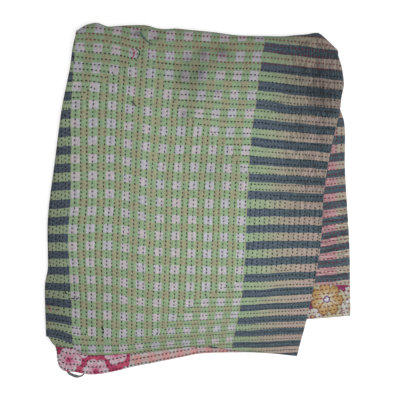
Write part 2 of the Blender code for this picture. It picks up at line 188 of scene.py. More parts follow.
FLOOR_BOTTOM_HEM = (
    (-330, -303), (6, -281), (250, -266), (345, -258),
)

CREASES = tuple(Crease(*row) for row in (
    (-128, 330, -128, -250, 46, 2.2), (-92, 300, -96, -230, 40, -0.8),
    (-300, -150, -190, -290, 44, 1.9), (-232, 350, -292, 170, 46, 2), (205, 345, 262, 60, 38, 2),
    (250, 330, 296, 90, 24, -0.8), (-30, 340, 20, 60, 60, 1.4), (60, -60, 180, -270, 60, 1.3),
))

# Sharp gathers on the front's upper right, and the folds that the strip is pushed into.
GATHERS = tuple(Crease(*row) for row in (
    (228, 335, 238, 245, 6, -1.1), (243, 335, 262, 195, 7, -1.5), (256, 345, 276, 180, 6, -1.3),
    (268, 340, 286, 225, 6, -1.4), (282, 305, 294, 150, 7, -1.4), (295, 330, 303, 235, 6, -1.1),
    (215, 300, 232, 160, 6, -0.9), (262, 180, 280, 60, 6, -0.8), (236, 120, 250, 20, 6, -0.7),
    (276, 100, 286, 10, 5, -0.7),
))
STRIP_GATHERS = tuple(Crease(*row) for row in (
    (285, -49, 350, -38, 6, -1.6), (281, -88, 350, -68, 7, -1.8), (278, -118, 350, -99, 7, -1.8),
    (274, -141, 350, -131, 6, -1.4), (272, -178, 350, -168, 6, -1.5), (284, -10, 350, 2, 6, -1.2),
    (300, 60, 345, 70, 6, -0.9), (300, 104, 345, 112, 6, -0.9),
))

GATHER_PAINTED_SHADE = 0.1  # painted shade: how much darker the colour is in a gather's trough, for each millimetre of its depth

# The zone of lengthwise rows on the front: a place across it (0 fold, 1 hem), and the shares of
# the way up between which they lie there.
CROSSING_ROWS = (
    (0.00, 0.14, 0.72), (0.10, 0.10, 0.82), (0.14, 0.08, 0.855), (0.20, 0.05, 0.89),
    (0.248, 0.045, 0.918), (0.252, 0.045, 0.985), (0.285, 0.04, 0.985), (0.289, 0.04, 0.915),
    (0.33, 0.035, 0.873), (0.37, 0.03, 0.822), (0.43, 0.05, 0.764), (0.47, 0.07, 0.74),
    (0.60, 0.16, 0.67), (0.75, 0.24, 0.51), (0.88, 0.27, 0.49), (1.00, 0.24, 0.49),
)
# How the rows slant over the print: the print's column, and what the row's number gains there
# at the top and with each row of the print.
ROW_SLANT = (
    (-2.0, 1.16, 0.10), (-0.3, 1.16, 0.10), (5.0, 0.36, 0.11), (7.0, 0.10, 0.06),
    (8.5, -0.21, 0.02), (16.0, -0.21, 0.02),
)
SLANT_FULL = 4.0  # rows of the print down to which the slant is whole
SLANT_GONE = 14.0
# The lengthwise rows: the print's column, and the row's number there.
COLUMN_NUMBERS = (
    (-2.0, -9.2), (-0.4, -1.1), (0.0, 0.1), (2.0, 6.1), (3.0, 9.45), (5.0, 15.7),
    (8.0, 25.1), (10.0, 31.5), (12.0, 38.1), (13.5, 43.1), (15.0, 48.1), (18.0, 58.1),
)

# Below the lengthwise rows the same numbers only space the crosswise rows' stitches.
LOW_COLUMN_NUMBERS = ((-2.0, -5.7), (-1.0, -2.85), *COLUMN_NUMBERS[2:])
LOW_START = 13.5  # rows of the print between which the one list gives way
LOW_FULL = 15.3

# The print: whole numbers are the middles of the pale rows and columns, halves of the dark ones.
CHECK_PITCH = 39.5
CHECK_FIRST = -0.27  # the check's two edges, in columns
CHECK_LAST = 10.31
# Its rows: each one's number, and its y at each of the columns in ROW_COLUMNS.
ROW_COLUMNS = (-1.5, 0.0, 2.0, 3.0, 5.0, 10.0, 12.5, 15.0)
PRINT_ROWS = (
    (0, 393.5, 397.5, 393.5, 386.0, 380.0, 376.5, 367.0, 356.0),
    (3, 260.0, 264.0, 260.0, 253.5, 245.0, 243.5, 233.5, 224.5),
    (6, 134.0, 138.0, 140.0, 132.0, 121.0, 116.5, 108.5, 101.0),
    (9, 13.0, 17.0, 17.5, 12.0, -1.0, -5.0, -7.0, -9.0),
    (12, -105.0, -103.5, -101.5, -106.0, -115.0, -120.5, -118.0, -115.5),
    (15, -212.5, -216.0, -221.5, -225.5, -234.5, -231.5, -226.0, -221.0),
    (17, -286.0, -296.5, -301.0, -303.5, -299.0, -290.0, -285.0, -281.5),
    (18, -322.0, -336.0, -338.5, -337.0, -328.0, -316.5, -314.0, -310.5),
)
# Its columns: a height, and the x there of each of the columns in COLUMN_STATIONS.
COLUMN_STATIONS = (0.0, 2.5, 5.0, 7.5, 10.0)
PRINT_COLUMNS = (
    (393.5, -267.5, -163.8, -60.0, 42.3, 144.5),
    (264.5, -278.0, -173.8, -69.5, 28.3, 126.0),
    (138.0, -281.5, -180.5, -79.5, 15.5, 110.5),
    (16.0, -282.0, -183.0, -88.0, 7.3, 102.5),
    (-103.5, -287.5, -188.2, -91.0, 3.3, 97.5),
    (-216.0, -282.0, -189.8, -94.5, -0.2, 90.0),
    (-331.0, -279.0, -189.8, -98.5, -10.8, 69.0),
)
# The stripes' tones, 0 leaf green to 1 rose, over the print's columns and over the strip's x.
TONE_COLUMNS = (-2.0, -0.3, 10.3, 11.3, 12.4, 13.4, 14.0, 15.2)
TONES = (0.2, 0.06, 0.0, 0.1, 0.33, 0.5, 0.66, 0.55)
STRIP_TONE_X = (270.0, 300.0, 317.0, 320.5, 345.0)
STRIP_TONES = (0.85, 1.0, 0.97, 0.42, 0.4)
# The middles of the dark stripes down the strip layer: y at its hidden edge and at its hem.
STRIP_STRIPES = (
    (181.5, 184.0), (135.5, 144.0), (98.0, 105.0), (61.0, 67.0), (24.0, 32.5), (-11.5, -3.5),
    (-49.0, -38.0), (-81.0, -70.0), (-112.5, -101.0), (-145.0, -138.5), (-179.0, -171.5),
)
STRIP_INNER_X = 276.0
STRIP_HEM_X = 345.0
MARIGOLD_SHARE = 0.118  # the strip's bottom patch, as a share of its length
ROSE_SEAM_X = -156.5  # the lining's seam between its two prints

# The small patches are real stains. The broad ones along the top fold, the bottom hem and the left
# band, and those at the upper right, are painted shade where the light falls off and the cloth turns
# away from it. The other broad ones only darken the cloth a little.
STAINS_AND_SHADE = tuple(StainAndShade(*row) for row in (
    (-139, 386, 9, 8, 0.45), (-96, 373, 7, 6, 0.4), (-24, 326, 12, 12, 0.25),
    (-33, 287, 20, 16, 0.3), (-14, 262, 34, 62, 0.22), (-33, 200, 10, 13, 0.3),
    (12, 336, 13, 17, 0.42), (54, 339, 16, 15, 0.4), (6, 295, 14, 14, 0.38),
    (45, 253, 12, 10, 0.28), (64, 330, 60, 40, 0.1), (282, 236, 30, 34, 0.24),
    (279, 306, 9, 34, 0.28), (318, 40, 62, 430, 0.13), (290, 320, 95, 100, 0.05),
    (215, 340, 120, 130, 0.2), (-345, -60, 42, 330, 0.27), (-60, -375, 380, 60, 0.12),
    (-60, 415, 420, 110, 0.25), (292, 215, 26, 60, 0.1), (-335, 115, 40, 65, 0.12),
    (-335, -250, 45, 70, 0.15), (55, 75, 75, 65, 0.1), (-225, -225, 80, 75, 0.1),
    (258, 60, 45, 95, 0.09),
))

LOOP_LINE = (
    (-302, -389), (-297.5, -396), (-290, -400), (-280, -403.2), (-272, -402.8), (-265.5, -399.5),
    (-261, -393.5),
)
LOOP_WIDTHS = (5, 6.5, 7, 7, 5, 3.2, 3)
LOOP_THICKNESS = 1.8


def ease(value: Floats | float) -> Floats:
    """A smooth step from 0 to 1."""
    held = np.clip(value, 0.0, 1.0)
    return held * held * (3.0 - 2.0 * held)


def stepped(start: float, end: float, longest: float) -> list[float]:
    """Evenly spaced values, both ends included.

    Args:
        start: The first value.
        end: The last value.
        longest: The longest step allowed.

    Returns:
        The values.
    """
    count = max(1, math.ceil((end - start) / longest - 1e-9))
    return [start + (end - start) * index / count for index in range(count + 1)]


def linear(code: str, alpha: float = 1.0) -> tuple[float, float, float, float]:
    """An sRGB hex colour as the linear values that a shader takes.

    Args:
        code: Six hex digits.
        alpha: The fourth value.

    Returns:
        Red, green, blue and alpha.
    """
    parts = [int(code[at:at + 2], 16) / 255 for at in (0, 2, 4)]
    red, green, blue = [p / 12.92 if p <= 0.04045 else ((p + 0.055) / 1.055) ** 2.4 for p in parts]
    return red, green, blue, alpha


def unit(rows: Floats) -> Floats:
    """Rows of vectors, each at length one."""
    return rows / np.linalg.norm(rows, axis=1)[:, None]


def on_front(s: Floats, t: Floats) -> Floats:
    """Whether each place of the sheet is on the front layer."""
    return (s < LEG_ACROSS) & (t < LEG_ALONG)


def on_strip(s: Floats, t: Floats) -> Floats:
    """Whether each place of the sheet is on the strip layer where it shows."""
    return (s > ACROSS - SHOWN_STRIP) & (t > BACK_START)


def to_frame(points: Floats) -> Floats:
    """Millimetres in the tables' place to metres in the frame."""
    return (points - np.array([*BOX_CENTRE, 0.0])) * MM


def link_object(name: str, data: Any) -> bpy.types.Object:
    """A new object in the scene, at the origin."""
    thing = bpy.data.objects.new(name, data)
    bpy.context.scene.collection.objects.link(thing)
    return thing


def mesh_object(name: str, points: Floats, faces: Sequence[Sequence[int]],
                attributes: dict[str, Floats] | None = None) -> bpy.types.Object:
    """A new smooth mesh in the scene, at the origin.

    Args:
        name: Its name.
        points: Its points, in metres.
        faces: Its faces, as numbers of its points.
        attributes: A row of three values for each point, by the attribute's name.

    Returns:
        The mesh's object.
    """
    mesh = bpy.data.meshes.new(name)
    mesh.from_pydata(points.tolist(), [], faces)
    mesh.shade_smooth()
    for label, rows in (attributes or {}).items():
        layer = mesh.attributes.new(label, "FLOAT_VECTOR", "POINT")
        layer.data.foreach_set("vector", rows.ravel())
    mesh.update()
    return link_object(name, mesh)


def add_node(tree: Any, kind: str, *inputs: Any, at: dict[Any, Any] | None = None,
             pick: int | str = 0, **settings: Any) -> Any:
    """Add a node to a tree, set it up and wire its inputs.

    Args:
        tree: The node tree.
        kind: The node's type name, a shader node's without its ShaderNode, or in capitals the
            operation of a maths node.
        inputs: Sockets or plain values for its first inputs.
        at: Sockets or plain values by the input's name or number.
        pick: The output wanted, by name or number.
        settings: The node's own settings.

    Returns:
        The output's socket, or None for a node that has no outputs.
    """
    if kind.isupper():
        kind, settings = "Math", {"operation": kind}
    whole = kind.startswith(("Geometry", "Function", "NodeGroup"))
    node = tree.nodes.new(kind if whole else f"ShaderNode{kind}")
    for name, value in settings.items():
        setattr(node, name, value)
    for name, source in (*enumerate(inputs), *(at or {}).items()):
        if isinstance(source, bpy.types.NodeSocket):
            tree.links.new(source, node.inputs[name])
        else:
            node.inputs[name].default_value = source
    return node.outputs[pick] if len(node.outputs) else None


class SmoothLine:
    """A smooth line through knots, read by its share of the length."""

    def __init__(self, knots: Sequence[tuple[float, float]]) -> None:
        """Measure the line.

        Args:
            knots: The points that it runs through.
        """
        self.points = np.array(knots, dtype=float)
        runs = np.hypot(*np.diff(self.points, axis=0).T)
        self.marks = np.concatenate([[0.0], np.cumsum(runs)])

    def at(self, share: Floats) -> Floats:
        """The points at shares of the length, as rows of x and y."""
        return read_smooth(self.marks, self.points, np.clip(share, 0.0, 1.0) * self.marks[-1])


def read_smooth(marks: Floats, values: Floats, at: Floats) -> Floats:
    """Read a smooth curve through values at uneven marks (a cubic through each pair).

    Args:
        marks: Where the values stand, rising.
        values: One value or row of values for each mark.
        at: Where to read; outside the marks the end's slope goes on.

    Returns:
        The values there.
    """
    last = len(marks) - 1
    low = np.maximum(np.arange(last + 1) - 1, 0)
    high = np.minimum(np.arange(last + 1) + 1, last)
    rows = values if values.ndim > 1 else values[:, None]
    slopes = (rows[high] - rows[low]) / (marks[high] - marks[low])[:, None]
    held = np.clip(at, marks[0], marks[-1])
    index = np.clip(np.searchsorted(marks, held, side="left") - 1, 0, last - 1)
    run = (marks[index + 1] - marks[index])[:, None]
    u = (held - marks[index])[:, None] / run
    found = ((2 * u ** 3 - 3 * u ** 2 + 1) * rows[index]
             + (3 * u ** 2 - 2 * u ** 3) * rows[index + 1]
             + (u ** 3 - 2 * u ** 2 + u) * run * slopes[index]
             + (u ** 3 - u ** 2) * run * slopes[index + 1])
    beyond = (at - held)[:, None]
    found = found + beyond * np.where(beyond < 0, slopes[0], slopes[-1])
    return found if values.ndim > 1 else found[:, 0]


class SoftNoise:
    """Smooth random values over a plane, the same each run."""

    SIZE = 64

    def __init__(self, seed: int) -> None:
        """Draw the lattice.

        Args:
            seed: The random seed.
        """
        self.lattice = np.random.default_rng(seed).uniform(-1.0, 1.0, (self.SIZE, self.SIZE))

    def at(self, x: Floats, y: Floats) -> Floats:
        """The noise over places.

        Args:
            x: Their x, in lattice steps.
            y: And their y.

        Returns:
            The values, from -1 to 1.
        """
        left, low = np.floor(x).astype(int), np.floor(y).astype(int)
        u, v = ease(x - left), ease(y - low)
        a, b = left % self.SIZE, (left + 1) % self.SIZE
        c, d = low % self.SIZE, (low + 1) % self.SIZE
        near = self.lattice[a, c] * (1 - u) + self.lattice[b, c] * u
        far = self.lattice[a, d] * (1 - u) + self.lattice[b, d] * u
        return near * (1 - v) + far * v


@dataclass
class Layer:
    """One layer of the fold: its outline from above and its height over the floor."""

    TOP_SHARE = {Leg.FLOOR: 0.0, Leg.STRIP: 0.14, Leg.LINING: 0.86, Leg.FRONT: 1.0}
    LONG_SHARE = {Leg.FLOOR: 0.0, Leg.STRIP: 0.12, Leg.LINING: 0.1, Leg.FRONT: 1.0}
    LONG_INSET = LAYER_PITCH / 2 + LONG_FOLD_LIFT / 2
    TOP_INSET = (3 * LAYER_PITCH + TOP_FOLD_LIFT) / 2

    leg: Leg
    long_fold: SmoothLine  # bottom to top, like the side hem
    side_hem: SmoothLine
    bottom_hem: SmoothLine  # from the long fold to the side hem, like the top fold
    top_fold: SmoothLine

    def plan(self, across: Floats, along: Floats) -> Floats:
        """The place from above, blended between the four edges as a Coons patch.

        Args:
            across: 0 at the long fold to 1 at the side hem.
            along: 0 at the bottom hem to 1 at the top fold.

        Returns:
            Rows of x and y.
        """
        a, b = across[:, None], along[:, None]
        ends = np.array([0.0, 1.0])
        low_left, high_left = self.long_fold.at(ends)
        low_right, high_right = self.side_hem.at(ends)
        sides = (1 - a) * self.long_fold.at(along) + a * self.side_hem.at(along)
        lengths = (1 - b) * self.bottom_hem.at(across) + b * self.top_fold.at(across)
        corners = ((1 - b) * ((1 - a) * low_left + a * low_right)
                   + b * ((1 - a) * high_left + a * high_right))
        inset = np.hstack([self.LONG_INSET * (1 - a), -self.TOP_INSET * b])
        return sides + lengths - corners + inset

    def height(self, across: Floats, along: Floats, plan: Floats) -> Floats:
        """The height of the layer's middle, its folds' lift and its sink past the hem below.

        Args:
            across: 0 at the long fold to 1 at the side hem.
            along: 0 at the bottom hem to 1 at the top fold.
            plan: The places from above.

        Returns:
            Millimetres over the floor.
        """
        near_top = ease(1 - (1 - along) * LEG_ALONG / TOP_FOLD_REACH)
        near_long = ease(1 - across * LEG_ACROSS / LONG_FOLD_REACH) * (1 - near_top)
        level = (THICKNESS / 2 + LAYER_PITCH * self.leg.value
                 + TOP_FOLD_LIFT * near_top * self.TOP_SHARE[self.leg]
                 + LONG_FOLD_LIFT * near_long * self.LONG_SHARE[self.leg])
        if self.leg in (Leg.LINING, Leg.FRONT):
            past = hem_below(plan[:, 0]) - HEM_DROP_START - plan[:, 1]
            level = level - 2 * LAYER_PITCH * ease(past / HEM_DROP_RUN)
        if self.leg is Leg.FRONT:
            fade = (ease(across * LEG_ACROSS / CREASE_FADE_LONG)
                    * ease((1 - along) * LEG_ALONG / CREASE_FADE_TOP))
            level = level + fade * creased(plan)
        return level


def hem_below(x: Floats) -> Floats:
    """The y of the back pair's bottom hem under each x."""
    (x0, y0), (x1, y1) = STRIP_BOTTOM_HEM[0], STRIP_BOTTOM_HEM[-1]
    return y0 + np.clip((x - x0) / (x1 - x0), 0.0, 1.0) * (y1 - y0)


def creased(plan: Floats, creases: Sequence[Crease] = CREASES) -> Floats:
    """How far the ridges and troughs lift the cloth at each place.

    Args:
        plan: The places from above.
        creases: The ridges and troughs.

    Returns:
        Millimetres.
    """
    rise = np.zeros(len(plan))
    for crease in creases:
        run_x, run_y = crease.x1 - crease.x0, crease.y1 - crease.y0
        length = math.hypot(run_x, run_y)
        off_x, off_y = plan[:, 0] - crease.x0, plan[:, 1] - crease.y0
        u = (off_x * run_x + off_y * run_y) / length ** 2
        away = np.abs(off_x * run_y - off_y * run_x) / length
        ends = ease(u / CREASE_TAPER) * ease((1 - u) / CREASE_TAPER)
        rise += crease.height * ends * ease(1 - away / crease.width)
    return rise


class Fold:
    """The flat sheet's map onto the fold: s across it, t along it."""

    def __init__(self) -> None:
        """Make the four layers."""
        self.layers = {leg: Layer(leg, *map(SmoothLine, (*edges, TOP_FOLD))) for leg, edges in (
            (Leg.FRONT, (FRONT_LONG_FOLD, FRONT_SIDE_HEM, FRONT_BOTTOM_HEM)),
            (Leg.LINING, (FRONT_LONG_FOLD, LINING_SIDE_HEM, LINING_BOTTOM_HEM)),
            (Leg.STRIP, (BACK_LONG_FOLD, STRIP_SIDE_HEM, STRIP_BOTTOM_HEM)),
            (Leg.FLOOR, (BACK_LONG_FOLD, FLOOR_SIDE_HEM, FLOOR_BOTTOM_HEM)),
        )}

    @staticmethod
    def read(s: Floats, t: Floats) -> tuple[Floats, Floats, Floats, Floats]:
        """Where (s, t) lies on the fold.

        Args:
            s: Places across the sheet.
            t: Places along it.

        Returns:
            Across and along as shares of a layer, and the turns round the long fold (0 outer
            pair to pi inner pair) and the top fold (pi/2 front pair to -pi/2 back pair).
        """
        across = np.where(s <= LEG_ACROSS, 1 - s / LEG_ACROSS,
                          np.maximum((s - LINING_START) / LEG_ACROSS, 0.0))
        along = np.where(t <= LEG_ALONG, t / LEG_ALONG,
                         np.minimum(1 - (t - BACK_START) / LEG_ALONG, 1.0))
        round_long = np.pi * np.clip((s - LEG_ACROSS) / LONG_FOLD_TURN, 0.0, 1.0)
        round_top = np.pi * (0.5 - np.clip((t - LEG_ALONG) / TOP_FOLD_TURN, 0.0, 1.0))
        return across, along, round_long, round_top

    def plan_on(self, leg: Leg, s: Floats, t: Floats) -> Floats:
        """The places from above that (s, t) has on one layer, as rows of x and y."""
        return self.layers[leg].plan(*self.read(s, t)[:2])

    def pair(self, outer: Leg, inner: Leg, across: Floats, along: Floats,
             round_long: Floats) -> tuple[Floats, Floats]:
        """Places on the front or back pair of layers, the long fold's round included.

        Args:
            outer: The pair's outer layer.
            inner: Its inner layer.
            across: Shares across.
            along: Shares along.
            round_long: Turns round the long fold.

        Returns:
            The plan places and the heights.
        """
        weight = (1 + np.cos(round_long)) / 2
        layers = self.layers[outer], self.layers[inner]
        plan_out, plan_in = (layer.plan(across, along) for layer in layers)
        z_out, z_in = (layer.height(across, along, plan)
                       for layer, plan in zip(layers, (plan_out, plan_in)))
        plan = weight[:, None] * plan_out + (1 - weight[:, None]) * plan_in
        plan[:, 0] -= np.sin(round_long) * np.abs(z_out - z_in) / 2
        return plan, weight * z_out + (1 - weight) * z_in

    def middle(self, s: Floats, t: Floats) -> Floats:
        """The points of the sheet's middle, in millimetres.

        Args:
            s: Places across the sheet.
            t: Places along it.

        Returns:
            Rows of x, y and z.
        """
        across, along, round_long, round_top = self.read(s, t)
        front, z_front = self.pair(Leg.FRONT, Leg.LINING, across, along, round_long)
        back, z_back = self.pair(Leg.FLOOR, Leg.STRIP, across, along, round_long)
        share = ((1 + np.sin(round_top)) / 2)[:, None]
        radius = (z_front - z_back) / 2
        plan = share * front + (1 - share) * back
        return np.column_stack([plan[:, 0], plan[:, 1] + radius * np.cos(round_top),
                                (z_front + z_back) / 2 + radius * np.sin(round_top)])

    def outward(self, s: Floats, t: Floats) -> Floats:
        """The direction that the sheet's outer face looks in.

        Args:
            s: Places across the sheet.
            t: Places along it.

        Returns:
            Rows of length one.
        """
        step = 0.5
        along = (self.middle(s, np.minimum(t + step, ALONG))
                 - self.middle(s, np.maximum(t - step, 0.0)))
        across = (self.middle(np.minimum(s + step, ACROSS), t)
                  - self.middle(np.maximum(s - step, 0.0), t))
        return unit(np.cross(along, across))

    def flat_size(self) -> tuple[float, float]:
        """The sheet's width and length before it was folded, in metres."""
        s = np.linspace(0.0, ACROSS, 400)
        t = np.linspace(0.0, ALONG, 400)
        wide = self.middle(s, np.full_like(s, LEG_ALONG / 2))
        tall = self.middle(np.full_like(t, LEG_ACROSS / 2), t)
        return tuple(float(np.linalg.norm(np.diff(line, axis=0), axis=1).sum()) * MM
                     for line in (wide, tall))


@dataclass
class PrintMap:
    """Where each place of the cloth lies on its print."""

    fold: Fold

    def column_at(self, x: Floats, y: Floats) -> Floats:
        """The print's column at each place of the front.

        Args:
            x: The places' x from above.
            y: And their y.

        Returns:
            The columns, not whole between two.
        """
        table = np.array(PRINT_COLUMNS)[::-1]
        lines = read_smooth(table[:, 0], table[:, 1:], y)
        found = np.full(len(x), np.nan)
        last = len(COLUMN_STATIONS) - 2
        for index in range(last + 1):
            low, high = lines[:, index], lines[:, index + 1]
            share = (x - low) / (high - low)
            inside = np.isnan(found) & ((share < 1.0) | (index == last))
            gap = COLUMN_STATIONS[index + 1] - COLUMN_STATIONS[index]
            found = np.where(inside, COLUMN_STATIONS[index] + gap * share, found)
        return found

    def row_at(self, column: Floats, y: Floats) -> Floats:
        """The print's row at each place of the front.

        Args:
            column: The print's columns there.
            y: The places' y.

        Returns:
            The rows, not whole between two.
        """
        numbers, *heights = np.array(PRINT_ROWS).T
        lines = read_smooth(np.array(ROW_COLUMNS), np.array(heights), np.clip(column, -2.0, 16.0))
        found = np.full(len(y), np.nan)
        for index in range(len(numbers) - 1):
            high, low = lines[:, index], lines[:, index + 1]
            share = (high - y) / (high - low)
            inside = np.isnan(found) & ((share <= 1.0) | (index == len(numbers) - 2))
            value = numbers[index] + share * (numbers[index + 1] - numbers[index])
            found = np.where(inside, value, found)
        return found

    @staticmethod
    def strip_row(x: Floats, y: Floats) -> Floats:
        """The print's row at each place of the strip layer.

        Args:
            x: The places' x from above.
            y: And their y.

        Returns:
            The rows, halves at the stripes' middles.
        """
        inner, hem = np.array(STRIP_STRIPES).T
        share = np.clip((x - STRIP_INNER_X) / (STRIP_HEM_X - STRIP_INNER_X), -0.3, 1.3)
        numbers = np.arange(len(STRIP_STRIPES)) + 0.5
        straight = read_smooth(-inner, numbers, -y)
        at_hem = read_smooth(-hem, numbers, -y)
        return straight * (1 - share) + at_hem * share

    def laid(self, s: Floats, t: Floats) -> tuple[Floats, Floats]:
        """The print's column and row over the front and round its folds.

        Args:
            s: Places across the sheet.
            t: Places along it.

        Returns:
            The columns and the rows.
        """
        x, y = self.fold.plan_on(Leg.FRONT, s, t).T
        past_long = np.clip(s - LEG_ACROSS, 0.0, None)
        past_top = np.clip(t - LEG_ALONG, 0.0, None)
        round_top = math.pi * Layer.TOP_INSET / TOP_FOLD_TURN - 1
        past_top += np.minimum(past_top, TOP_FOLD_TURN) * round_top
        column = self.column_at(x, y) - past_long / CHECK_PITCH
        return column, self.row_at(column, y) - past_top / CHECK_PITCH

    def strip_laid(self, s: Floats, t: Floats) -> tuple[Floats, Floats]:
        """The print's row over the strip layer, and its x from above."""
        x, y = self.fold.plan_on(Leg.STRIP, s, t).T
        return self.strip_row(x, y), x

    def on_cloth(self, s: Floats, t: Floats) -> Floats:
        """The print's coordinates and tone over the sheet's outer face.

        Args:
            s: Places across the sheet.
            t: Places along it.

        Returns:
            Rows of column, row and tone (0 leaf green to 1 rose).
        """
        column, row = self.laid(s, t)
        tone = np.interp(column, TONE_COLUMNS, TONES)
        strip = (s > LINING_START + LEG_ACROSS / 2) & (t > BACK_START)
        strip_row, strip_x = self.strip_laid(s, t)
        strip_tone = np.interp(strip_x, STRIP_TONE_X, STRIP_TONES)
        return np.column_stack([np.where(strip, 30.0, column), np.where(strip, strip_row, row),
                                np.where(strip, strip_tone, tone)])


@dataclass
class Quilting:
    """The rows of running stitches on the flat sheet, and the relief between them."""

    PUFF = 1.0  # rise of the cloth between two rows
    PUFF_SPREAD = 0.3  # and how far that varies from place to place
    PULLED = 0.42  # rise and dip of the small gathers across a row
    TURN_BLEND = 5.0  # run in which crossing rows give way to the others
    WAVER = 0.12  # how far a row strays by hand, in rows

    print_map: PrintMap  # the rows follow it
    pull: SoftNoise = field(default_factory=lambda: SoftNoise(11))
    long_pull: SoftNoise = field(default_factory=lambda: SoftNoise(12))
    waver: SoftNoise = field(default_factory=lambda: SoftNoise(13))

    @staticmethod
    def crossing(s: Floats, t: Floats) -> Floats:
        """How far inside the zone of lengthwise rows each place of the front is, in mm."""
        marks, lows, highs = np.array(CROSSING_ROWS).T
        low, high = (np.interp(1 - s / LEG_ACROSS, marks, ends) * LEG_ALONG for ends in (lows, highs))
        return np.minimum(t - low, high - t)

    @staticmethod
    def evenly(at: Floats, start: float, end: float) -> Floats:
        """The number of the row at each place between two edges, for rows evenly spaced."""
        marks = stepped(start + ROW_END_GAP, end - ROW_END_GAP, ROW_PITCH / 2)
        return (at - marks[0]) / (marks[2] - marks[0])

    def front_numbers(self, s: Floats, t: Floats) -> tuple[Floats, Floats]:
        """The numbers of the crosswise and lengthwise rows over the front.

        Args:
            s: Places across the sheet.
            t: Places along it.

        Returns:
            The two numbers, whole on a row.
        """
        column, row = self.print_map.laid(s, t)
        places, top, gain = np.array(ROW_SLANT).T
        slant = np.interp(column, places, top)
        slant += np.interp(column, places, gain) * np.clip(row, 0.0, SLANT_FULL)
        slant *= 1 - ease((row - SLANT_FULL) / (SLANT_GONE - SLANT_FULL))
        upper, lower = (read_smooth(*np.array(numbers).T, column)
                        for numbers in (COLUMN_NUMBERS, LOW_COLUMN_NUMBERS))
        along = upper + (lower - upper) * ease((row - LOW_START) / (LOW_FULL - LOW_START))
        rows = ROWS_TO_PRINT * row + slant + self.WAVER * self.waver.at(s / 55.0, t / 24.0)
        return rows, along + self.WAVER * self.waver.at(s / 24.0 + 9, t / 55.0)

    def numbered(self, s: Floats, t: Floats, outer: bool) -> Floats:
        """The quilting's coordinates at each place of a face.

        Args:
            s: Places across the sheet.
            t: Places along it.
            outer: Whether it is the sheet's outer face.

        Returns:
            Rows of: the number of the row across the sheet, the number of the row along it,
            and 1 where the sheet is sewn along, 0 where it is sewn across.
        """
        even = self.evenly(s, 0.0, LEG_ACROSS)
        if not outer:
            return np.column_stack([self.evenly(t, 0.0, SHOWN_LINING), even, np.zeros(len(s))])
        row, column = self.front_numbers(s, t)
        back = (t > BACK_START) & (s > LINING_START)
        strip_row = STRIP_ROWS_TO_PRINT * self.print_map.strip_laid(s, t)[0]
        turned = ease(0.5 + self.crossing(s, t) / (2 * self.TURN_BLEND))
        on_back = ease(0.5 + (BACK_START + STRIP_TURN * LEG_ALONG - t) / (2 * self.TURN_BLEND))
        return np.column_stack([np.where(back, strip_row, row), np.where(back, even, column),
                                np.where(back, on_back, turned)])

    def rise(self, s: Floats, t: Floats, outer: bool) -> Floats:
        """The face's rise over the plain sheet.

        Args:
            s: Places across the sheet.
            t: Places along it.
            outer: Whether it is the sheet's outer face.

        Returns:
            Millimetres.
        """
        row, column, turned = self.numbered(s, t, outer).T
        puff = np.sin(np.pi * row) ** 2 * (1 - turned) + np.sin(np.pi * column) ** 2 * turned
        puff = puff * (self.PUFF + self.PUFF_SPREAD * self.long_pull.at(s / 60.0, t / 60.0))
        gathers = (self.pull.at(s / 5.2, t / 15.0) * (1 - turned)
                   + self.pull.at(s / 15.0, t / 6.0) * turned)
        shown = puff + self.PULLED * gathers
        if outer:
            front = on_front(s, t)
            edge = np.where(front, np.minimum(LEG_ACROSS - s, LEG_ALONG - t),
                            np.minimum(s - ACROSS + SHOWN_STRIP, t - BACK_START))
            return np.where(front | on_strip(s, t), shown * ease(edge / ROW_END_GAP), 0.0)
        edge = np.minimum(s - LINING_START, SHOWN_LINING - t)
        return shown * ease(edge / ROW_END_GAP)


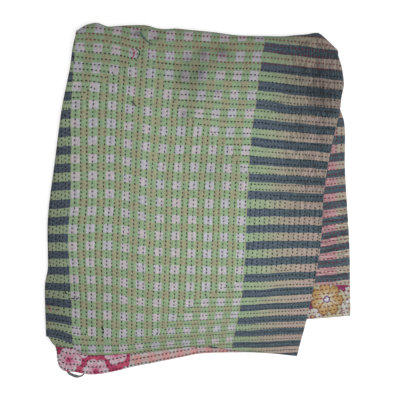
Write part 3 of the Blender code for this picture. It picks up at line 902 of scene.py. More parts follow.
class SheetFace:
    """One face of the flat sheet, as points and faces: square grids where it shows, and
    triangles between them and where it doesn't."""

    RIM = (0.0, 0.6, 1.6, 2.9)
    RIM_STEP = 8.0
    HIDDEN_STEP = 24.0

    def __init__(self, blocks: Sequence[tuple[Sequence[float], Sequence[float]]]) -> None:
        """Lay out the face.

        Args:
            blocks: The marks across and along of each square grid.
        """
        self.points: list[tuple[float, float]] = []
        self.index: dict[tuple[float, float], int] = {}
        self.lines: list[tuple[int, int]] = []
        self.blocks = blocks
        self.fold_s = stepped(LEG_ACROSS, LINING_START, LONG_FOLD_TURN / 8)
        self.fold_t = stepped(LEG_ALONG, BACK_START, TOP_FOLD_TURN / 14)
        self.marks_s = self.fine_marks(LEG_ACROSS, LINING_START, ACROSS, self.fold_s)
        self.marks_t = self.fine_marks(LEG_ALONG, BACK_START, ALONG, self.fold_t)
        self.rim = self.ring(0)
        for number in range(1, len(self.RIM)):
            self.ring(number)
        for s in self.fold_s:
            self.line([(s, t) for t in self.marks_t])
        for t in self.fold_t:
            self.line([(s, t) for s in self.marks_s])
        for across, along in blocks:
            for end in (0, -1):
                self.line([(s, along[end]) for s in across])
            for end in (0, -1):
                self.line([(across[end], t) for t in along])
        self.hidden_grid()

    def fine_marks(self, fold_in: float, fold_out: float, end: float,
                   fold: list[float]) -> list[float]:
        """Marks over the whole sheet one way: close at the hems and round the fold."""
        rim = list(self.RIM)
        found = rim + stepped(rim[-1], fold_in, self.RIM_STEP)[1:-1] + fold
        found += stepped(fold_out, end - rim[-1], self.RIM_STEP)[1:-1]
        return found + [end - off for off in rim[::-1]]

    def point(self, s: float, t: float) -> int:
        """The number of the point at (s, t), made when it is new.

        Args:
            s: The place across the sheet.
            t: The place along it.

        Returns:
            The number.
        """
        key = (round(s, 3), round(t, 3))
        if key not in self.index:
            self.index[key] = len(self.points)
            self.points.append((s, t))
        return self.index[key]

    def line(self, places: Sequence[tuple[float, float]]) -> None:
        """Points joined one to the next."""
        numbers = [self.point(s, t) for s, t in places]
        self.lines += [(a, b) for a, b in zip(numbers, numbers[1:]) if a != b]

    def ring(self, number: int) -> list[tuple[float, float]]:
        """A line all round the sheet, inside its hems.

        Args:
            number: Which of the rim's offsets it lies in from them.

        Returns:
            Its places.
        """
        off = self.RIM[number]
        s_in = [s for s in self.marks_s if off - 1e-6 <= s <= ACROSS - off + 1e-6]
        t_in = [t for t in self.marks_t if off - 1e-6 <= t <= ALONG - off + 1e-6]
        places = [(s, t_in[0]) for s in s_in] + [(s_in[-1], t) for t in t_in[1:]]
        places += [(s, t_in[-1]) for s in reversed(s_in[:-1])]
        places += [(s_in[0], t) for t in reversed(t_in[:-1])]
        self.line(places)
        return places

    def inside_block(self, s: float, t: float, margin: float) -> bool:
        """Whether a place is in a square grid, or within a margin of it."""
        return any(across[0] - margin < s < across[-1] + margin
                   and along[0] - margin < t < along[-1] + margin for across, along in self.blocks)

    def hidden_grid(self) -> None:
        """A wide grid where nothing shows, closer where the front pair sinks past the hem."""
        low_s = stepped(8.0, LEG_ACROSS - 4.0, self.HIDDEN_STEP)
        low_s += stepped(LINING_START + 4.0, ACROSS - 8.0, self.HIDDEN_STEP)
        low_t = stepped(8.0, 110.0, 8.0) + stepped(110.0, LEG_ALONG - 4.0, self.HIDDEN_STEP)[1:]
        low_t += stepped(BACK_START + 4.0, ALONG - 8.0, self.HIDDEN_STEP)
        for s in low_s:
            for t in low_t:
                if not self.inside_block(s, t, 3.0):
                    self.point(s, t)

    def faces(self) -> list[tuple[int, ...]]:
        """The face's triangles and squares, as numbers of its points."""
        flat = [Vector(place) for place in self.points]
        found = delaunay_2d_cdt(flat, self.lines, [], 0, 1e-4)
        if len(found[0]) != len(flat):
            raise ValueError("two lines of the sheet cross")
        made: list[tuple[int, ...]] = []
        for triangle in found[2]:
            s, t = np.mean([self.points[number] for number in triangle], axis=0)
            if not self.inside_block(s, t, 0.0):
                made.append(tuple(triangle))
        for across, along in self.blocks:
            numbers = [[self.point(s, t) for t in along] for s in across]
            for near, far in zip(numbers, numbers[1:]):
                made += zip(near, far, far[1:], near[1:])
        return made


class Slack(NamedTuple):
    """Uneven slack in the cloth: its height, its waves' width and length, how they lean and how
    far they are shifted."""

    height: float
    wide: float
    tall: float
    lean: float = 0.0
    shift: float = 0.0

    def over(self, noise: SoftNoise, x: Floats, y: Floats) -> Floats:
        """Its rise at each place from above, in millimetres."""
        return self.height * noise.at(x / self.wide + self.lean * y + self.shift, y / self.tall)


class Region(NamedTuple):
    """A part of the cloth: where it starts in x and in y, and in what runs it grows whole."""

    x: float
    x_run: float
    y: float
    y_run: float

    def share(self, x: Floats, y: Floats) -> Floats:
        """How far each place from above is inside, 0 to 1."""
        return ease((x - self.x) / self.x_run) * ease((y - self.y) / self.y_run)


@dataclass
class QuiltCloth:
    """The folded cloth: one closed sheet with quilted relief, its prints, its stains and gathers, and
    its painted shade.
    """

    fold: Fold
    quilting: Quilting
    print_map: PrintMap
    grid_step: float = 3.15  # of the square grids, in millimetres
    rim_run: float = 2.9  # run in which the turned hem rounds off
    rim_edge: float = 0.35  # half the thickness left at the hem's very edge
    soft: tuple[Slack, ...] = (Slack(0.55, 70.0, 85.0), Slack(0.3, 31.0, 37.0, 0.0, 9.0))
    fine: tuple[Slack, ...] = (Slack(0.75, 6.5, 60.0, 0.015), Slack(0.6, 13.0, 95.0, 0.01, 30.0))
    puckered: Region = Region(130.0, 110.0, -170.0, 300.0)  # where the front's fine slack is
    pleated: Region = Region(150.0, 90.0, -170.0, 280.0)  # and where its fine gathers are
    strip_height: float = 0.6  # of the slack down the strip, its waves' width and length, lean
    strip_size: tuple[float, float] = (60.0, 9.0)
    strip_lean: float = 0.2
    hem_fade: float = 25.0  # runs in which the front's slack fades out, at its hems
    fold_fade: float = 30.0  # and at its folds
    strip_fade: float = 14.0
    least_drawn: float = 0.15  # share of the fine gathers that the rest of the front has
    puckers: SoftNoise = field(default_factory=lambda: SoftNoise(21))
    slack: SoftNoise = field(default_factory=lambda: SoftNoise(22))

    def grid_marks(self, start: float, end: float) -> list[float]:
        """Evenly spaced grid marks between two edges."""
        return stepped(start + ROW_END_GAP, end - ROW_END_GAP, self.grid_step)

    def blocks(self, outer: bool) -> list[tuple[list[float], list[float]]]:
        """The square grids of one face.

        Args:
            outer: Whether it is the sheet's outer face, with the front and the strip, or the
                inner one with the lining.

        Returns:
            Each grid's marks across and along.
        """
        if not outer:
            return [(self.grid_marks(LINING_START, ACROSS), self.grid_marks(0.0, SHOWN_LINING))]
        return [(self.grid_marks(0.0, LEG_ACROSS), self.grid_marks(0.0, LEG_ALONG)),
                (stepped(ACROSS - SHOWN_STRIP, ACROSS - ROW_END_GAP, self.grid_step),
                 self.grid_marks(BACK_START, ALONG))]

    def half_thickness(self, s: Floats, t: Floats) -> Floats:
        """Half the cloth's thickness, rounding off at the hems."""
        edge = np.minimum(np.minimum(s, ACROSS - s), np.minimum(t, ALONG - t))
        share = 1 - np.clip(edge / self.rim_run, 0.0, 1.0)
        return self.rim_edge + (THICKNESS / 2 - self.rim_edge) * np.sqrt(1 - share ** 2)

    def slack_rise(self, s: Floats, t: Floats) -> Floats:
        """Uneven slack and sharp gathers: upright ones at the front's right, lying ones down the
        strip.

        Args:
            s: Places across the sheet.
            t: Places along it.

        Returns:
            Millimetres.
        """
        plan = self.fold.plan_on(Leg.FRONT, s, t)
        x, y = plan.T
        soft = sum(slack.over(self.slack, x, y) for slack in self.soft)
        fine = sum(slack.over(self.puckers, x, y) for slack in self.fine)
        front = soft + self.puckered.share(x, y) * fine + creased(plan, GATHERS)
        plan = self.fold.plan_on(Leg.STRIP, s, t)
        x, y = plan.T
        wide, tall = self.strip_size
        strip = self.strip_height * self.puckers.at(x / wide, (y - self.strip_lean * x) / tall)
        strip = strip + creased(plan, STRIP_GATHERS)
        fade = ease(np.minimum(s, t) / self.hem_fade) * ease((LEG_ACROSS - s) / self.fold_fade)
        fade *= ease((LEG_ALONG - t) / self.fold_fade)
        edge = np.minimum(np.minimum(s - ACROSS + SHOWN_STRIP, ACROSS - s), t - BACK_START)
        return np.where(on_strip(s, t), ease(edge / self.strip_fade) * strip,
                        np.where(on_front(s, t), fade * front, 0.0))

    def face_points(self, s: Floats, t: Floats, outer: bool) -> Floats:
        """The points of one face, in metres.

        Args:
            s: Places across the sheet.
            t: Places along it.
            outer: Whether it is the sheet's outer face.

        Returns:
            Rows of x, y and z.
        """
        lift = self.half_thickness(s, t) + self.quilting.rise(s, t, outer)
        if outer:
            lift = lift + self.slack_rise(s, t)
        side = 1.0 if outer else -1.0
        found = self.fold.middle(s, t) + self.fold.outward(s, t) * (side * lift)[:, None]
        found[:, 2] = np.maximum(found[:, 2], 0.0)
        return to_frame(found)

    def facing(self, s: Floats, t: Floats, outer: bool) -> Floats:
        """The ways that one face looks, at each place.

        Args:
            s: Places across the sheet.
            t: Places along it.
            outer: Whether it is the sheet's outer face.

        Returns:
            Rows of length one.
        """
        step = 1.0
        by_s = self.face_points(s + step, t, outer) - self.face_points(s - step, t, outer)
        by_t = self.face_points(s, t + step, outer) - self.face_points(s, t - step, outer)
        return unit(np.cross(by_t, by_s) * (1.0 if outer else -1.0))

    def wear(self, points: Floats, s: Floats, t: Floats, outer: bool) -> Floats:
        """How each place of a face is stained and gathered, and where shade is painted on it.

        Args:
            points: The places, in metres.
            s: Places across the sheet.
            t: Places along it.
            outer: Whether it is the sheet's outer face.

        Returns:
            Rows of: how far stains and painted shade darken it, how far upright gathers draw it up,
                and how far
            lying ones do, each 0 to 1. The painted shade is broad where the light falls off, and deep
            in the gathers' troughs.
        """
        plan = points[:, :2] / MM + BOX_CENTRE
        x, y = plan.T
        front, strip = outer & on_front(s, t), outer & on_strip(s, t)
        soil_and_shade = np.zeros(len(points))
        # Real stains and broad painted shade, from the table.
        for stain in STAINS_AND_SHADE:
            away = ((x - stain.x) / stain.wide) ** 2 + ((y - stain.y) / stain.tall) ** 2
            soil_and_shade += stain.dark * np.exp(-away)
        # Painted shade in the gathers' troughs, twice as dark down the strip.
        soil_and_shade += GATHER_PAINTED_SHADE * np.where(front, -np.minimum(creased(plan, GATHERS), 0), 0)
        soil_and_shade += 2 * GATHER_PAINTED_SHADE * np.where(strip, -np.minimum(creased(plan, STRIP_GATHERS), 0), 0)
        upright = self.least_drawn + (1 - self.least_drawn) * self.pleated.share(x, y)
        # The strip's lying gathers grow from y = 30 down and end above its bottom patch.
        lying = (0.3 + 0.8 * ease((30.0 - y) / 60.0)) * ease((y + 190.0) / 20.0)
        return np.column_stack([np.clip(soil_and_shade, 0.0, 1.0), upright * front, lying * strip])

    def build(self) -> bpy.types.Object:
        """Make the cloth's mesh, its attributes and its materials' places."""
        sides = [(SheetFace(self.blocks(outer)), outer) for outer in (True, False)]
        rows: list[tuple[Floats, ...]] = []
        faces: list[tuple[int, ...]] = []
        kinds: list[int] = []
        for face, is_outer in sides:
            first = sum(len(parts[0]) for parts in rows)
            made = face.faces()
            places = np.array(face.points)
            s, t = places.T
            points = self.face_points(s, t, is_outer)
            rows.append((points, self.print_map.on_cloth(s, t),
                         self.quilting.numbered(s, t, is_outer),
                         self.wear(points, s, t, is_outer)))
            for corners in made:
                order = corners[::-1] if is_outer else corners
                faces.append(tuple(first + number for number in order))
            middles = np.array([places[list(corners)].mean(axis=0) for corners in made])
            kinds += self.cottons(*middles.T, is_outer).tolist()
        outer, inner = (face for face, _is_outer in sides)
        offset = len(outer.points)
        for one, two in zip(outer.rim, outer.rim[1:]):
            faces.append((outer.point(*one), outer.point(*two),
                          offset + inner.point(*two), offset + inner.point(*one)))
        rim = np.array(outer.rim)
        kinds += self.cottons(*((rim[1:] + rim[:-1]) / 2).T, True).tolist()
        points, prints, sewn, worn_and_shaded = (np.vstack(parts) for parts in zip(*rows))
        quilt = mesh_object("quilt_cloth", points, faces,
                            {"print": prints, "quilting": sewn, "wear": worn_and_shaded})
        quilt.data.polygons.foreach_set("material_index", kinds)
        return quilt

    def cottons(self, s: Floats, t: Floats, outer: bool) -> Floats:
        """Which printed cotton each place of the cloth is cut from, as the material's place.

        Args:
            s: Places across the sheet.
            t: Places along it.
            outer: Whether it is the sheet's outer face.

        Returns:
            The places of the materials.
        """
        if outer:
            patch = (s > LINING_START) & (t > ALONG - MARIGOLD_SHARE * LEG_ALONG)
            return np.where(patch, Cotton.MARIGOLD.value, Cotton.CHECK.value)
        shares = np.linspace(0.0, 1.0, 200)
        plan = self.fold.layers[Leg.LINING].plan(shares, np.full(200, 0.04))
        seam = LINING_START + LEG_ACROSS * float(np.interp(ROSE_SEAM_X, plan[:, 0], shares))
        return np.where(s > seam, Cotton.SALMON.value, Cotton.ROSE.value)


class Thread(Enum):
    """The sewing threads, by colour."""

    DARK = "dark"
    RED = "red"
    BLUE = "blue"


@dataclass(frozen=True)
class StitchSize:
    """A running stitch, in metres, and how unevenly it is sewn."""

    length: float = 0.0051
    width: float = 0.0025
    height: float = 0.0016
    wander: float = 0.0007  # how far it strays from its place
    skipped: float = 0.03  # share of the stitches that are missing
    seed: int = 5

    def inputs(self) -> dict[str, float]:
        """The values by the names of the node tree's inputs."""
        return {name.capitalize(): value for name, value in asdict(self).items()}


class Sewn(NamedTuple):
    """Stitches on one face: where they are, how far s and t run along each, and the numbers of
    the crosswise and the lengthwise row there."""

    s: Floats
    t: Floats
    run_s: Floats
    run_t: Floats
    row: Floats
    column: Floats
    outer: bool

    def kept(self, wanted: Floats) -> Sewn:
        """The wanted ones of the stitches."""
        return Sewn(*(values[wanted] for values in self[:-1]), self.outer)


@dataclass
class StitchPlan:
    """Where every running stitch lies on the flat sheet, and which thread sews it."""

    quilting: Quilting
    red_rows: float = 4.5  # crosswise rows of the front sewn in red, from the top fold
    red_column: int = 10  # the lengthwise row sewn in red
    red_column_end: float = 15.5
    blue_column: int = -1
    blue_column_rows: tuple[float, float] = (30.0, 46.0)
    marks: float = 3.0  # how closely the rows are traced, in millimetres

    def traced(self, box: tuple[float, float, float, float], lengthwise: bool, outer: bool) -> Sewn:
        """The stitches of the rows that run one way through a box of the sheet.

        Args:
            box: The box's first and last s, and first and last t.
            lengthwise: Whether the rows run along the sheet.
            outer: Whether they are on its outer face.

        Returns:
            The stitches, spaced along each line where the row's number is whole.
        """
        s_marks = np.array(stepped(box[0], box[1], self.marks))
        t_marks = np.array(stepped(box[2], box[3], self.marks))
        s_grid, t_grid = np.meshgrid(s_marks, t_marks, indexing="ij")
        numbers = self.quilting.numbered(s_grid.ravel(), t_grid.ravel(), outer)
        row, column = (numbers[:, at].reshape(s_grid.shape) for at in (0, 1))
        own, other = (column.T, row.T) if lengthwise else (row, column)
        run, side = (t_marks, s_marks) if lengthwise else (s_marks, t_marks)
        spacing = COLUMN_STITCH if lengthwise else ROW_STITCH
        if own[0, 0] > own[0, -1]:
            own, other, side = own[:, ::-1], other[:, ::-1], side[::-1]
        levels = np.arange(math.ceil(own.min()), math.floor(own.max()) + 1)
        beside = np.array([np.interp(levels, line, side) for line in own])
        along = np.array([np.interp(levels, line, off) for line, off in zip(own, other)])
        within = (own.min(axis=1)[:, None] <= levels) & (levels <= own.max(axis=1)[:, None])
        found = []
        for index, level in enumerate(levels):
            inside = within[:, index]
            if inside.sum() < 3:
                continue
            order = np.argsort(along[inside, index])
            phase = along[inside, index][order] * ROW_SPACING / spacing + level * STITCH_SHIFT
            ways = run[inside][order], beside[inside, index][order]
            wanted = np.arange(math.ceil(phase[0] - 0.5), math.floor(phase[-1] - 0.5) + 1) + 0.5
            here, far, near = ([np.interp(wanted + off, phase, way) for way in ways]
                               for off in (0.0, RUN_SHARE / 2, -RUN_SHARE / 2))
            number = (wanted - level * STITCH_SHIFT) * spacing / ROW_SPACING
            found.append(np.column_stack([*here, far[0] - near[0], far[1] - near[1],
                                          np.full(len(wanted), level), number]))
        first, second, run_first, run_second, own_at, other_at = np.vstack(found).T
        if lengthwise:
            return Sewn(second, first, run_second, run_first, other_at, own_at, outer)
        return Sewn(first, second, run_first, run_second, own_at, other_at, outer)

    def sewn(self) -> list[Sewn]:
        """Every stitch that shows."""
        front = (3.0, LEG_ACROSS + 3.0, 2.0, LEG_ALONG + 0.3 * TOP_FOLD_TURN)
        across, along = self.traced(front, False, True), self.traced(front, True, True)
        turn = BACK_START + STRIP_TURN * LEG_ALONG
        shown = (ACROSS - SHOWN_STRIP, ACROSS - 2.0)
        return [
            across.kept(self.quilting.crossing(across.s, across.t) <= 0),
            along.kept(self.quilting.crossing(along.s, along.t) > 0),
            self.traced((*shown, turn, ALONG - 2.0), False, True),
            self.traced((*shown, BACK_START + 6.0, turn), True, True),
            self.traced((LINING_START, ACROSS - 3.0, 2.0, SHOWN_LINING - 2.0), False, False),
        ]

    def in_thread(self, sewn: Sewn, thread: Thread) -> Sewn:
        """The stitches that one thread sews.

        Args:
            sewn: Stitches of every thread.
            thread: The thread.

        Returns:
            Its own ones.
        """
        if not sewn.outer:
            return sewn.kept(np.full(len(sewn.s), thread is Thread.DARK))
        strip = sewn.t > BACK_START
        in_column = ~strip & (np.abs(sewn.run_s) <= np.abs(sewn.run_t))
        red = strip | (sewn.row < self.red_rows)
        red |= in_column & (sewn.column == self.red_column) & (sewn.row < self.red_column_end)
        low, high = self.blue_column_rows
        blue = in_column & (sewn.column == self.blue_column) & (sewn.row > low) & (sewn.row < high)
        wanted = {Thread.RED: red, Thread.BLUE: blue & ~red, Thread.DARK: ~(red | blue)}
        return sewn.kept(wanted[thread])


@dataclass
class StitchSet:
    """The running stitches of one thread, laid on the cloth."""

    cloth: QuiltCloth
    plan: StitchPlan
    thread: Thread
    size: StitchSize = field(default_factory=StitchSize)
    twist: float = 0.3  # radians, how far a stitch turns from its row
    least: tuple[float, float, float] = (0.72, 0.8, 0.8)  # of its length, width, height
    most: tuple[float, float, float] = (1.25, 1.15, 1.1)
    tight_room: float = 0.004  # metres to the next stitch at which it is shortest
    full_room: float = 0.0085  # and from which it is whole
    shortest: float = 0.36  # share of the length left there

    def spots(self) -> bpy.types.Object:
        """A point for each stitch, with the way it runs, the way the cloth faces and its room."""
        parts = []
        for sewn in self.plan.sewn():
            mine = self.plan.in_thread(sewn, self.thread)
            if not len(mine.s):
                continue
            half_s, half_t = mine.run_s / 2, mine.run_t / 2
            run = (self.cloth.face_points(mine.s + half_s, mine.t + half_t, mine.outer)
                   - self.cloth.face_points(mine.s - half_s, mine.t - half_t, mine.outer))
            room = np.linalg.norm(run, axis=1)[:, None]
            parts.append((self.cloth.face_points(mine.s, mine.t, mine.outer), run / room,
                          self.cloth.facing(mine.s, mine.t, mine.outer),
                          room * [1.0, 0.0, 0.0] / RUN_SHARE))
        points, runs, ups, rooms = (np.vstack(rows) for rows in zip(*parts))
        return mesh_object(f"{self.thread.value}_spots", points, (),
                           {"stitch_run": runs, "cloth_up": ups, "stitch_room": rooms})

    def tree(self, material: bpy.types.Material) -> bpy.types.NodeTree:
        """The node tree that lays a stitch on each point.

        Args:
            material: The thread's material.

        Returns:
            The tree.
        """
        tree = bpy.data.node_groups.new(f"{self.thread.value}_running_stitch", "GeometryNodeTree")
        add = partial(add_node, tree)
        face = tree.interface
        face.new_socket("Spots", in_out="INPUT", socket_type="NodeSocketGeometry")
        for name, value in self.size.inputs().items():
            kind = "NodeSocketInt" if isinstance(value, int) else "NodeSocketFloat"
            face.new_socket(name, in_out="INPUT", socket_type=kind)
        face.new_socket("Stitches", in_out="OUTPUT", socket_type="NodeSocketGeometry")
        given = add("NodeGroupInput").node.outputs
        seed = {"Seed": given["Seed"]}
        run, up, room = (add("GeometryNodeInputNamedAttribute", name, data_type="FLOAT_VECTOR")
                         for name in ("stitch_run", "cloth_up", "stitch_room"))

        # Each point stays or is skipped, and strays a little.
        chance = add("FunctionNodeRandomValue", pick=3, data_type="BOOLEAN",
                     at={"Probability": given["Skipped"], **seed})
        points = add("GeometryNodeMeshToPoints", given["Spots"])
        kept = add("GeometryNodeDeleteGeometry", points, chance, domain="POINT")
        far = given["Wander"]
        back = add("MULTIPLY", far, -1.0)
        drift = add("FunctionNodeRandomValue", add("CombineXYZ", back, back),
                    add("CombineXYZ", far, far), at=seed, data_type="FLOAT_VECTOR")
        moved = add("GeometryNodeSetPosition", kept, at={"Offset": drift})

        # A stitch lies along its row, flat on the cloth, with a small twist.
        facing = add("FunctionNodeAxesToRotation", primary_axis="Z", secondary_axis="X",
                     at={"Primary Axis": up, "Secondary Axis": run})
        twist = add("FunctionNodeRandomValue", pick=1, data_type="FLOAT",
                    at={2: -self.twist, 3: self.twist, **seed})
        turned = add("FunctionNodeRotateRotation", rotation_space="LOCAL",
                     at={"Rotation": facing, "Rotate By": add("CombineXYZ", 0.0, 0.0, twist)})

        # It is a low oval of its own length, shorter where the next one is near.
        ball = add("GeometryNodeMeshUVSphere", at={"Segments": 6, "Rings": 4, "Radius": 0.5})
        lying = add("GeometryNodeTransform", ball, at={"Rotation": (0.0, math.pi / 2, 0.0)})
        shape = add("CombineXYZ", given["Length"], given["Width"], given["Height"])
        stitch = add("GeometryNodeTransform", lying, at={"Scale": shape})
        uneven = add("FunctionNodeRandomValue", self.least, self.most, at=seed,
                     data_type="FLOAT_VECTOR")
        tight = add("MapRange", add("SeparateXYZ", room), self.tight_room, self.full_room,
                    self.shortest, 1.0)
        fitted = add("CombineXYZ", tight, 1.0, 1.0)
        scaled = add("VectorMath", uneven, fitted, operation="MULTIPLY")
        laid = add("GeometryNodeInstanceOnPoints", moved, at={"Instance": stitch, "Rotation": turned,
                                                              "Scale": scaled})
        real = add("GeometryNodeRealizeInstances", laid)
        smooth = add("GeometryNodeSetShadeSmooth", real)
        dressed = add("GeometryNodeSetMaterial", smooth, at={"Material": material})
        add("NodeGroupOutput", dressed)
        return tree

    def build(self, material: bpy.types.Material) -> bpy.types.Object:
        """Lay the stitches and keep them as a plain mesh.

        Args:
            material: The thread's material.

        Returns:
            The stitches.
        """
        spots = self.spots()
        tree = self.tree(material)
        modifier = spots.modifiers.new("stitches", "NODES")
        modifier.node_group = tree
        values = self.size.inputs()
        for item in tree.interface.items_tree:
            if item.in_out == "INPUT" and item.name in values:
                modifier[item.identifier] = values[item.name]
        graph = bpy.context.evaluated_depsgraph_get()
        mesh = bpy.data.meshes.new_from_object(spots.evaluated_get(graph))
        bpy.data.objects.remove(spots)
        return link_object(f"{self.thread.value}_stitches", mesh)


def closed_tube(name: str, path: Floats, aside: Floats, over: Floats,
                clockwise: bool) -> bpy.types.Object:
    """A closed tube along a path.

    Args:
        name: The piece's name.
        path: The points along its middle, in millimetres.
        aside: For each side of each ring, how far it lies to the left, as vectors.
        over: And how far it lies up or down.
        clockwise: Whether the rings run clockwise, seen along the path.

    Returns:
        The tube.
    """
    rings = path[:, None] + aside + over
    count, sides = rings.shape[:2]
    first, last = (tuple(range(at * sides, at * sides + sides)) for at in (0, count - 1))
    faces = [first[::-1] if clockwise else first]
    for start in range(0, last[0], sides):
        for side in range(sides):
            here, after = start + side, start + (side + 1) % sides
            corners = here, here + sides, after + sides, after
            faces.append(corners[:1] + corners[:0:-1] if clockwise else corners)
    faces.append(last if clockwise else last[::-1])
    return mesh_object(name, rings.reshape(-1, 3) * MM, faces)


@dataclass
class TornHemLoop:
    """The torn loop of the hem that stands out at the lower left corner."""

    knots: Sequence[tuple[float, float]] = LOOP_LINE
    widths: Sequence[float] = LOOP_WIDTHS
    thickness: float = LOOP_THICKNESS
    steps: int = 36
    sides: int = 10
    ragged: float = 0.12  # how much wider or narrower its torn edges are
    frayed: SoftNoise = field(default_factory=lambda: SoftNoise(31))

    def build(self) -> bpy.types.Object:
        """Make the strip: a flat oval run along the loop, creased and frayed."""
        share = np.linspace(0.0, 1.0, self.steps + 1)
        path = SmoothLine(self.knots).at(share)
        run = unit(np.gradient(path, axis=0))
        half = np.interp(share, np.linspace(0, 1, len(self.widths)), self.widths) / 2
        steps, sides = np.arange(self.steps + 1.0)[:, None], np.arange(float(self.sides))[None]
        angle = 2 * math.pi * sides / self.sides
        ragged = 1 + self.ragged * self.frayed.at(steps / 2.3, sides * 1.7)
        out = half[:, None] * np.cos(angle) * ragged
        creased_up = 1 + np.sin(angle) * (0.98 - 0.3 * np.cos(angle * 3) ** 2)
        flat = np.column_stack([-run[:, 1], run[:, 0], np.zeros(len(run))])
        up = np.array([0.0, 0.0, self.thickness / 2])
        middle = np.column_stack([path, np.zeros(len(path))]) - [*BOX_CENTRE, 0.0]
        return closed_tube("torn_hem_loop", middle, flat[:, None] * out[..., None],
                           up * creased_up[..., None], clockwise=True)


class SlackStitch(NamedTuple):
    """A stitch that stands up from the front: its places from above, and in millimetres how far
    its middle stands up and its thread's radius."""

    name: str
    knots: tuple[tuple[float, float], ...]
    rise: float
    radius: float
    thread: SewingThread


@dataclass
class LooseStitches:
    """The slack stitches that stand up from the front, into the cloth at both ends."""

    fold: Fold
    cloth: QuiltCloth
    steps: int = 24
    sides: int = 6
    sunk_end: float = 0.9  # how deep each end goes into the cloth, in millimetres

    def places(self, plan: Floats) -> tuple[Floats, Floats]:
        """The sheet's (s, t) under places of the front, found by a few steps.

        Args:
            plan: The places from above.

        Returns:
            Their s and their t.
        """
        s, t = np.full(len(plan), LEG_ACROSS / 2), np.full(len(plan), LEG_ALONG / 2)
        for _turn in range(10):
            here = self.fold.middle(s, t)[:, :2]
            right = self.fold.middle(s - 1.0, t)[:, :2] - here
            up = self.fold.middle(s, t + 1.0)[:, :2] - here
            off = plan - here
            size = right[:, 0] * up[:, 1] - up[:, 0] * right[:, 1]
            a = (off[:, 0] * up[:, 1] - up[:, 0] * off[:, 1]) / size
            b = (right[:, 0] * off[:, 1] - off[:, 0] * right[:, 1]) / size
            s, t = np.clip(s - a, 1.0, LEG_ACROSS - 1), np.clip(t + b, 1.0, LEG_ALONG - 1)
        return s, t

    def build(self, stitch: SlackStitch) -> bpy.types.Object:
        """Lay one of the stitches.

        Args:
            stitch: Where it lies.

        Returns:
            The thread.
        """
        share = np.linspace(0.0, 1.0, self.steps + 1)
        s, t = self.places(SmoothLine(stitch.knots).at(share))
        base = self.cloth.face_points(s, t, True) / MM
        ends = np.abs(share - 0.5) > 0.49
        base[:, 2] += stitch.rise * np.sin(np.pi * share) + stitch.radius * 0.4 - self.sunk_end * ends
        run = unit(np.gradient(base, axis=0))
        aside = unit(np.cross(run, np.array([0.0, 0.0, 1.0])))
        angle = 2 * math.pi * np.arange(self.sides)[None, :, None] / self.sides
        return closed_tube(stitch.name, base, stitch.radius * np.cos(angle) * aside[:, None],
                           stitch.radius * np.sin(angle) * np.cross(aside, run)[:, None],
                           clockwise=False)


class Finish:
    """A material, made by its own surface method."""

    name: str

    def surface(self, tree: Any, place: Any) -> Any:
        """The shader, from the material's tree and its Object coordinates in metres."""
        raise NotImplementedError

    def build(self) -> bpy.types.Material:
        """Make the material."""
        material = bpy.data.materials.new(self.name)
        material.use_nodes = True
        tree = material.node_tree
        tree.nodes.clear()
        place = add_node(tree, "TexCoord", pick="Object")
        add_node(tree, "OutputMaterial", self.surface(tree, place))
        return material


def layered(tree: Any, colour: Any, coats: Sequence[tuple[Any, Any]]) -> Any:
    """A colour with others laid over it.

    Args:
        tree: The material's tree.
        colour: The lowest colour, as a hex code or a socket.
        coats: For each coat its share, 0 to 1, and its colour.

    Returns:
        The colour's socket.
    """
    for share, coat in coats:
        under, over = (linear(one) if isinstance(one, str) else one for one in (colour, coat))
        colour = add_node(tree, "Mix", share, at={6: under, 7: over}, pick=2, data_type="RGBA")
    return colour


def strayed(tree: Any, vector: Any, place: Any, blotches: float, detail: float,
            reach: tuple[float, float, float]) -> Any:
    """A vector moved about by soft noise.

    Args:
        tree: The material's tree.
        vector: What is moved.
        place: Object coordinates, in metres.
        blotches: How many of the noise's blotches lie in a metre.
        detail: The noise's detail.
        reach: How far it moves in all, along each axis.

    Returns:
        The moved vector.
    """
    add = partial(add_node, tree)
    noise = add("TexNoise", place, at={"Scale": blotches, "Detail": detail}, pick="Color")
    moved = add("VectorMath", noise, reach, [-way / 2 for way in reach], operation="MULTIPLY_ADD")
    return add("VectorMath", vector, moved, operation="ADD")


def band(tree: Any, value: Any, shift: float, soft: float) -> Any:
    """Stripes as wide as their gaps, one to each whole number.

    Args:
        tree: The material's tree.
        value: The number across the stripes.
        shift: Added to it; a whole number and a half puts the stripes' middles on the whole ones.
        soft: Half the width of a stripe's soft edge.

    Returns:
        1 in a stripe, else 0.
    """
    add = partial(add_node, tree)
    part = add("FRACT", add("ADD", value, shift))
    away = add("ABSOLUTE", add("SUBTRACT", part, 0.5))
    return add("MapRange", away, 0.25 + soft, 0.25 - soft)


